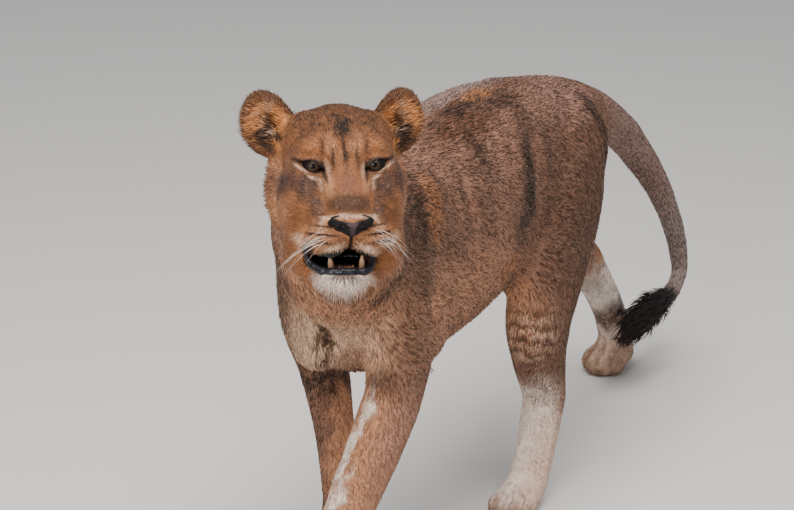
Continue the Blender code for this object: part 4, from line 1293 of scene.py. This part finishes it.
noseMake = {"voxel": 0.0011, "rounds": 14, "wide": 1.20, "sunk": 0.0140}
noseSwells = [
    ((0.0150, -0.206, -0.0785), (0.0095, 0.030, 0.0075), (0.000, 0.0100, 0.000)),    # nostril
    ((0.0310, -0.192, -0.0700), (0.0130, 0.030, 0.0050), (0.000, 0.0050, 0.000)),    # its slit to the wing
    ((0.0110, -0.210, -0.0710), (0.0120, 0.030, 0.0050), (0.000, -0.0018, 0.000)),   # rim above
]
noseMiddles = [
    ((0.000, -0.215, -0.0820), (0.0026, 0.030, 0.0180), (0.000, 0.0018, 0.000)),   # groove
]

# from its front: centre, radii, tilt, softness, tone and strength
nosePatches = [
    ((0.003, -0.21, -0.0745), (0.0100, 0.06, 0.0042), 0, 0.5, tone(104, 84, 88), 0.60),     # pale middle: mauve leather with a painted highlight
    ((0.000, -0.21, -0.082), (0.0042, 0.06, 0.011), 0, 0.5, tone(92, 72, 78), 0.60),
    ((0.015, -0.20, -0.0790), (0.0095, 0.06, 0.0065), 0, 0.35, tone(10, 8, 9), 0.97),       # nostril: painted shade in it
    ((0.033, -0.19, -0.0690), (0.0140, 0.06, 0.0046), -25, 0.35, tone(12, 10, 11), 0.95),   # its slit, with painted shade
]


# a CAD node as one even skin, with its facets worn off
def remeshed(node, name, voxel, rounds):
    made = bareCopy(node, name)
    applyModifier(made, "REMESH", mode="VOXEL", voxel_size=voxel)
    relax(made, np.ones(len(made.data.vertices)), rounds)
    return made


def noseMaterial():
    material, shader = newMaterial("noseSkin")
    place = objectPlace(material)
    warp = texture(place, "Noise", 120.0, output=1, Detail=2.0).shift((-0.5, -0.5, -0.5))
    side = headPlace(place).shift(warp, 0.006).mirrored()
    crust = texture(place, "Noise", 70.0, Detail=4.0)
    colour = crust.rise(0.35, 0.65).blend(tone(12, 10, 11), tone(27, 23, 25))
    for centre, radii, tilt, soft, paint, strength in nosePatches:
        colour = (ball(side, centre, radii, tilt, soft) * strength).blend(colour, paint)
    pebbles = texture(place, "Voronoi", 620.0, feature="DISTANCE_TO_EDGE")
    # painted shade in the grooves between the pebbles
    colour = (pebbles.rise(0.10, 0.0) * 0.5).blend(colour, tone(14, 11, 12))
    rough = 0.38 + texture(place, "Noise", 300.0, Detail=2.0) * 0.25
    bump = bumpOf(pebbles.rise(0.0, 0.25), 0.0006, 0.6)
    feed(shader, {"Base Color": colour, "Roughness": rough, "Normal": bump}, {"Specular IOR Level": 0.18})
    return material


def makeNose():
    nose = remeshed("nose", "noseLeather", noseMake["voxel"], noseMake["rounds"])
    local = toHead(placesOf(nose))
    local[:, 0] *= noseMake["wide"]
    for centre, radii, move in noseSwells:
        swell(local, centre, radii, move)
    for centre, radii, move in noseMiddles:
        swell(local, centre, radii, move, both=False)
    local[:, 1] += smooth(0.0004, -0.0024, noseLeather(local)) * noseMake["sunk"]   # outside the leather
    setPlaces(nose, fromHead(local))
    smoothShade(nose)
    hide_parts("nose")
    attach(nose, "root")
    nose.data.materials.append(noseMaterial())


makeNose()
print("nose")

# teeth: two lower canines with a backward curve, and the small teeth between them

toothMake = {"voxel": 0.0009, "rounds": 8, "taper": 0.62, "curve": 0.0040, "splay": 0.0022}
incisorMake = {
    "count": 6,
    "middle": (-0.007, -0.1760, -0.1500),
    "arc": 0.0135,                          # half the row's width
    "size": (0.0023, 0.0021, 0.0068),
}


def toothMaterial():
    material, shader = newMaterial("enamel")
    place = objectPlace(material)
    local = headPlace(place)
    stain = texture(place, "Noise", 160.0, Detail=4.0)
    colour = local.part(2).rise(-0.146, -0.130).blend(tone(104, 72, 54), tone(196, 158, 126))
    colour = (stain.rise(0.45, 0.75) * 0.5).blend(colour, tone(168, 124, 84))
    bump = bumpOf(stain, 0.0004, 0.4)
    wires = {"Base Color": colour, "Roughness": 0.25 + stain * 0.25, "Normal": bump}
    feed(shader, wires, {"Specular IOR Level": 0.12, "Coat Weight": 0.10})
    return material


def makeCanine(node, enamel):
    tooth = remeshed(node, node + "_tooth", toothMake["voxel"], toothMake["rounds"])
    local = toHead(placesOf(tooth))
    low, high = local.min(axis=0), local.max(axis=0)
    part = (local[:, 2] - low[2]) / (high[2] - low[2])
    middle = (low + high) / 2
    thin = 1.12 - toothMake["taper"] * part ** 1.3
    for axis in (0, 1):
        local[:, axis] = middle[axis] + (local[:, axis] - middle[axis]) * thin
    local[:, 1] += toothMake["curve"] * part ** 2
    local[:, 0] += np.sign(middle[0]) * toothMake["splay"] * part
    setPlaces(tooth, fromHead(local))
    smoothShade(tooth)
    tooth.data.materials.append(enamel)
    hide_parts(node)
    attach(tooth, "root")


def makeIncisors(enamel):
    number = incisorMake["count"]
    small = []
    for step in range(number):
        across = (step - (number - 1) / 2) / (number / 2)
        offset = np.array((across * incisorMake["arc"], 0.005 * across ** 2, 0))
        bpy.ops.object.select_all(action="DESELECT")
        bpy.ops.mesh.primitive_uv_sphere_add(segments=14, ring_count=10, radius=1)
        tooth = bpy.context.view_layer.objects.active
        size = np.array(incisorMake["size"]) * (0.9 + 0.25 * abs(across))
        places = placesOf(tooth)
        places[:, :2] *= 0.85 + 0.25 * places[:, 2:]
        setPlaces(tooth, fromHead(places * size + offset + incisorMake["middle"]))
        small.append(tooth)
    selectOnly(*small)
    bpy.ops.object.join()
    row = bpy.context.view_layer.objects.active
    row.name = "incisors"
    smoothShade(row)
    row.data.materials.append(enamel)
    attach(row, "root")


def makeTeeth():
    enamel = toothMaterial()
    for node in [name for name in nodes if name.startswith("canine")]:
        makeCanine(node, enamel)
    makeIncisors(enamel)


# lips: a wet rolled edge along the lower jaw, up to both corners

lipRoute = [
    (-0.0655, -0.163, -0.1095), (-0.0710, -0.157, -0.1200), (-0.0690, -0.154, -0.1330),
    (-0.0600, -0.161, -0.1440), (-0.0460, -0.172, -0.1515), (-0.0290, -0.182, -0.1540),
    (-0.0050, -0.187, -0.1530), (0.0170, -0.185, -0.1545), (0.0280, -0.180, -0.1530),
    (0.0355, -0.173, -0.1450), (0.0380, -0.168, -0.1340), (0.0365, -0.170, -0.1220),
]
lipMake = {"thick": 0.0066, "around": 14, "steps": 96, "wave": 0.0007, "rounds": 30}


def lipMaterial():
    material, shader = newMaterial("lipWet")
    place = objectPlace(material)
    blotch = texture(place, "Noise", 110.0, Detail=4.0)
    # pale bluish blotches: painted highlight on the wet lip
    colour = blotch.rise(0.40, 0.70).blend(tone(22, 22, 26), tone(52, 50, 58))
    bump = bumpOf(texture(place, "Noise", 240.0, Detail=3.0), 0.0012, 0.6)
    wires = {"Base Color": colour, "Roughness": 0.24 + blotch * 0.24, "Normal": bump}
    feed(shader, wires, {"Specular IOR Level": 0.15, "Coat Weight": 0.20, "Coat Roughness": 0.08})
    return material


def makeLips():
    around, steps = lipMake["around"], lipMake["steps"]
    route = np.array(lipRoute)
    reach = np.concatenate([[0], np.cumsum(np.linalg.norm(np.diff(route, axis=0), axis=1))])
    spot = np.linspace(0, reach[-1], steps)
    line = np.stack([np.interp(spot, reach, route[:, axis]) for axis in range(3)], axis=1)
    for step in range(lipMake["rounds"]):
        line[1:-1] += (line[:-2] + line[2:] - 2 * line[1:-1]) * 0.25
    ahead = unit(np.gradient(line, axis=0))
    side = unit(np.cross(ahead, (0.0, -1.0, 0.0)))
    front = unit(np.cross(side, ahead))
    part = spot / reach[-1]
    thick = lipMake["thick"] * np.clip(np.sin(np.pi * part) ** 0.45, 0.08, 1)
    thick = thick + lipMake["wave"] * np.sin(part * 61) * np.sin(np.pi * part)
    angle = np.arange(around) * 2 * math.pi / around
    wide = (np.cos(angle) * 1.15)[None, :, None]
    ring = side[:, None] * wide + front[:, None] * np.sin(angle)[None, :, None]
    points = (line[:, None] + ring * thick[:, None, None]).reshape(-1, 3)
    faces = [tuple(range(around))[::-1], tuple(range(len(points) - around, len(points)))]
    for step in range(steps - 1):
        for turn in range(around):
            one, two = step * around + turn, step * around + (turn + 1) % around
            faces.append((one, two, two + around, one + around))
    lips = meshPiece("lips", fromHead(points), faces)
    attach(lips, "root")
    lips.data.materials.append(lipMaterial())


makeLips()
print("lips")
makeTeeth()
print("teeth")

# tongue: a middle groove and rough papillae

tongueMake = {"voxel": 0.0016, "rounds": 8, "groove": -0.0030}


def tongueMaterial():
    material, shader = newMaterial("tongueWet")
    place = objectPlace(material)
    buds = texture(place, "Voronoi", 520.0)
    blotch = texture(place, "Noise", 90.0, Detail=3.0)
    colour = blotch.rise(0.35, 0.65).blend(tone(104, 70, 72), tone(128, 86, 86))
    colour = (buds.rise(0.25, 0.0) * 0.5).blend(colour, tone(164, 118, 116))
    bump = bumpOf(buds.rise(0.5, 0.0), 0.0008, 0.8)
    feed(shader, {"Base Color": colour, "Roughness": 0.28 + blotch * 0.25, "Normal": bump}, {})
    return material


def makeTongue():
    tongue = remeshed("tongue", "tongueRough", tongueMake["voxel"], tongueMake["rounds"])
    local = toHead(placesOf(tongue))
    down = (0, 0, tongueMake["groove"])
    swell(local, (-0.005, -0.140, -0.143), (0.006, 0.060, 0.010), down, both=False)
    setPlaces(tongue, fromHead(local))
    smoothShade(tongue)
    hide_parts("tongue")
    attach(tongue, "root")
    tongue.data.materials.append(tongueMaterial())


makeTongue()
print("tongue")

# whiskers: closed tapered tubes in rows on the pads, a few on the chin

whiskerMake = {
    "seed": 3,
    "thick": 0.00038,
    "rings": 9,
    "ahead": {"pad": (0.9, 0.10, -0.42), "chin": (0.2, -0.5, -0.9)},
    "droop": {"pad": -0.30, "chin": -0.35},
    "share": {"pad": 1.0, "chin": 0.6},      # of the thickness
    "edge": 0.2800, "squeeze": 0.32,         # beyond this x they're drawn in
}


def whiskerRoots():
    local = toHead(placesOf(skin))
    roots = []
    for side in (1, -1):
        for row in range(4):
            for column in range(4):
                across = side * (0.034 + 0.0072 * column + 0.002 * row)
                up = -0.079 - 0.0085 * row - 0.0016 * column
                roots.append((across, up, side, 0.055 + 0.014 * column - 0.004 * row, "pad"))
        for column in range(3):
            roots.append((side * (0.010 + 0.011 * column), -0.180 + 0.003 * column, side, 0.022, "chin"))
    found = []
    for across, up, side, length, kind in roots:
        near = (abs(local[:, 0] - across) < 0.003) & (abs(local[:, 2] - up) < 0.003) & (local[:, 1] < -0.08)
        if near.any():
            spot = local[near][local[near][:, 1].argmin()]
            found.append((spot, side, length, kind))
    return found


def whiskerMaterial():
    material, shader = newMaterial("whiskerHorn")
    band = texture(objectPlace(material), "Noise", 60.0, Detail=2.0)
    colour = band.rise(0.35, 0.65).blend(tone(214, 196, 180), tone(244, 236, 228))
    feed(shader, {"Base Color": colour}, {"Roughness": 0.35})
    return material


# adds one whisker's points, four to a ring and one at the tip, and its faces
def addWhisker(points, faces, spot, ahead, bend, thickness):
    rings = whiskerMake["rings"]
    start, tip = len(points), len(points) + rings * 4
    for ring in range(rings):
        part = ring / rings
        middle = spot + ahead * part + bend * part ** 2 * 0.8
        thick = thickness * (1 - 0.85 * part)
        for step in range(4):
            angle = step * math.pi / 2
            points.append(middle + np.array((0, math.cos(angle), math.sin(angle))) * thick)
    points.append(spot + ahead + bend * 0.8)
    faces.append([start + step for step in range(4)])
    for ring in range(rings):
        for step in range(4):
            one, two = start + ring * 4 + step, start + ring * 4 + (step + 1) % 4
            faces.append([one, one + 4, two + 4, two] if ring < rings - 1 else [one, tip, two])


def makeWhiskers():
    rng = np.random.default_rng(whiskerMake["seed"])
    points, faces = [], []
    for spot, side, length, kind in whiskerRoots():
        length *= rng.uniform(0.8, 1.15)
        ahead = np.array(whiskerMake["ahead"][kind]) * (side, 1, 1) + rng.normal(0, 0.17, 3)
        ahead *= length / np.linalg.norm(ahead)
        bend = np.array((side * -0.08, 0.45, whiskerMake["droop"][kind])) * length
        addWhisker(points, faces, spot, ahead, bend, whiskerMake["thick"] * whiskerMake["share"][kind])
    points = fromHead(np.array(points))
    beyond = np.maximum(points[:, 0] - whiskerMake["edge"], 0)
    points[:, 0] -= beyond * (1 - whiskerMake["squeeze"])
    whiskers = meshPiece("whiskers", points, faces)
    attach(whiskers, "root")
    whiskers.data.materials.append(whiskerMaterial())
    print("whiskers", len(faces))


makeWhiskers()

# view

view = {
    "fromHead": (2.21676, -3.90041, 1.28471),
    "azimuth": 28.2835,
    "down": 17.6306,
    "roll": 0.64146,
    "lens": 122.18,
}


def makeView():
    data = bpy.data.cameras.new("camera")
    data.lens = view["lens"]
    data.sensor_width = 36
    camera = bpy.data.objects.new("camera", data)
    bpy.context.scene.collection.objects.link(camera)
    turn = Matrix.Rotation(math.radians(view["azimuth"]), 4, "Z")
    turn = turn @ Matrix.Rotation(math.radians(90 - view["down"]), 4, "X")
    turn = turn @ Matrix.Rotation(math.radians(view["roll"]), 4, "Z")
    camera.matrix_world = Matrix.Translation(headOrigin + Vector(view["fromHead"])) @ turn
    bpy.context.scene.camera = camera


def makeFloor():
    bpy.ops.object.select_all(action="DESELECT")
    bpy.ops.mesh.primitive_plane_add(size=14, location=(0, 0, 0))
    floor = bpy.context.active_object
    floor.name = "floor"
    material, shader = newMaterial("paper")
    feed(shader, {}, {"Base Color": (0.72, 0.70, 0.67, 1), "Roughness": 0.9})
    floor.data.materials.append(material)


def addLamp(name, place, aim, size, power, colour):
    data = bpy.data.lights.new(name, "AREA")
    data.size = size
    data.energy = power
    data.color = colour
    lamp = bpy.data.objects.new(name, data)
    bpy.context.scene.collection.objects.link(lamp)
    back = Vector(place) - Vector(aim)
    lamp.matrix_world = Matrix.Translation(Vector(place)) @ back.to_track_quat("Z", "Y").to_matrix().to_4x4()


def makeLight():
    world = bpy.data.worlds.new("studio")
    bpy.context.scene.world = world
    world.use_nodes = True
    feed(world.node_tree.nodes["Background"], {}, {"Color": (0.86, 0.88, 0.92, 1), "Strength": 0.55})
    addLamp("sky", (0.6, -1.2, 4.6), (0, 0, 0.6), 3.2, 270, (1, 0.98, 0.95))
    addLamp("front", (0.4, -5.2, 2.6), (0, 0, 0.7), 2.2, 150, (1, 0.97, 0.93))


makeView()
makeFloor()
makeLight()
print("view, floor and light")
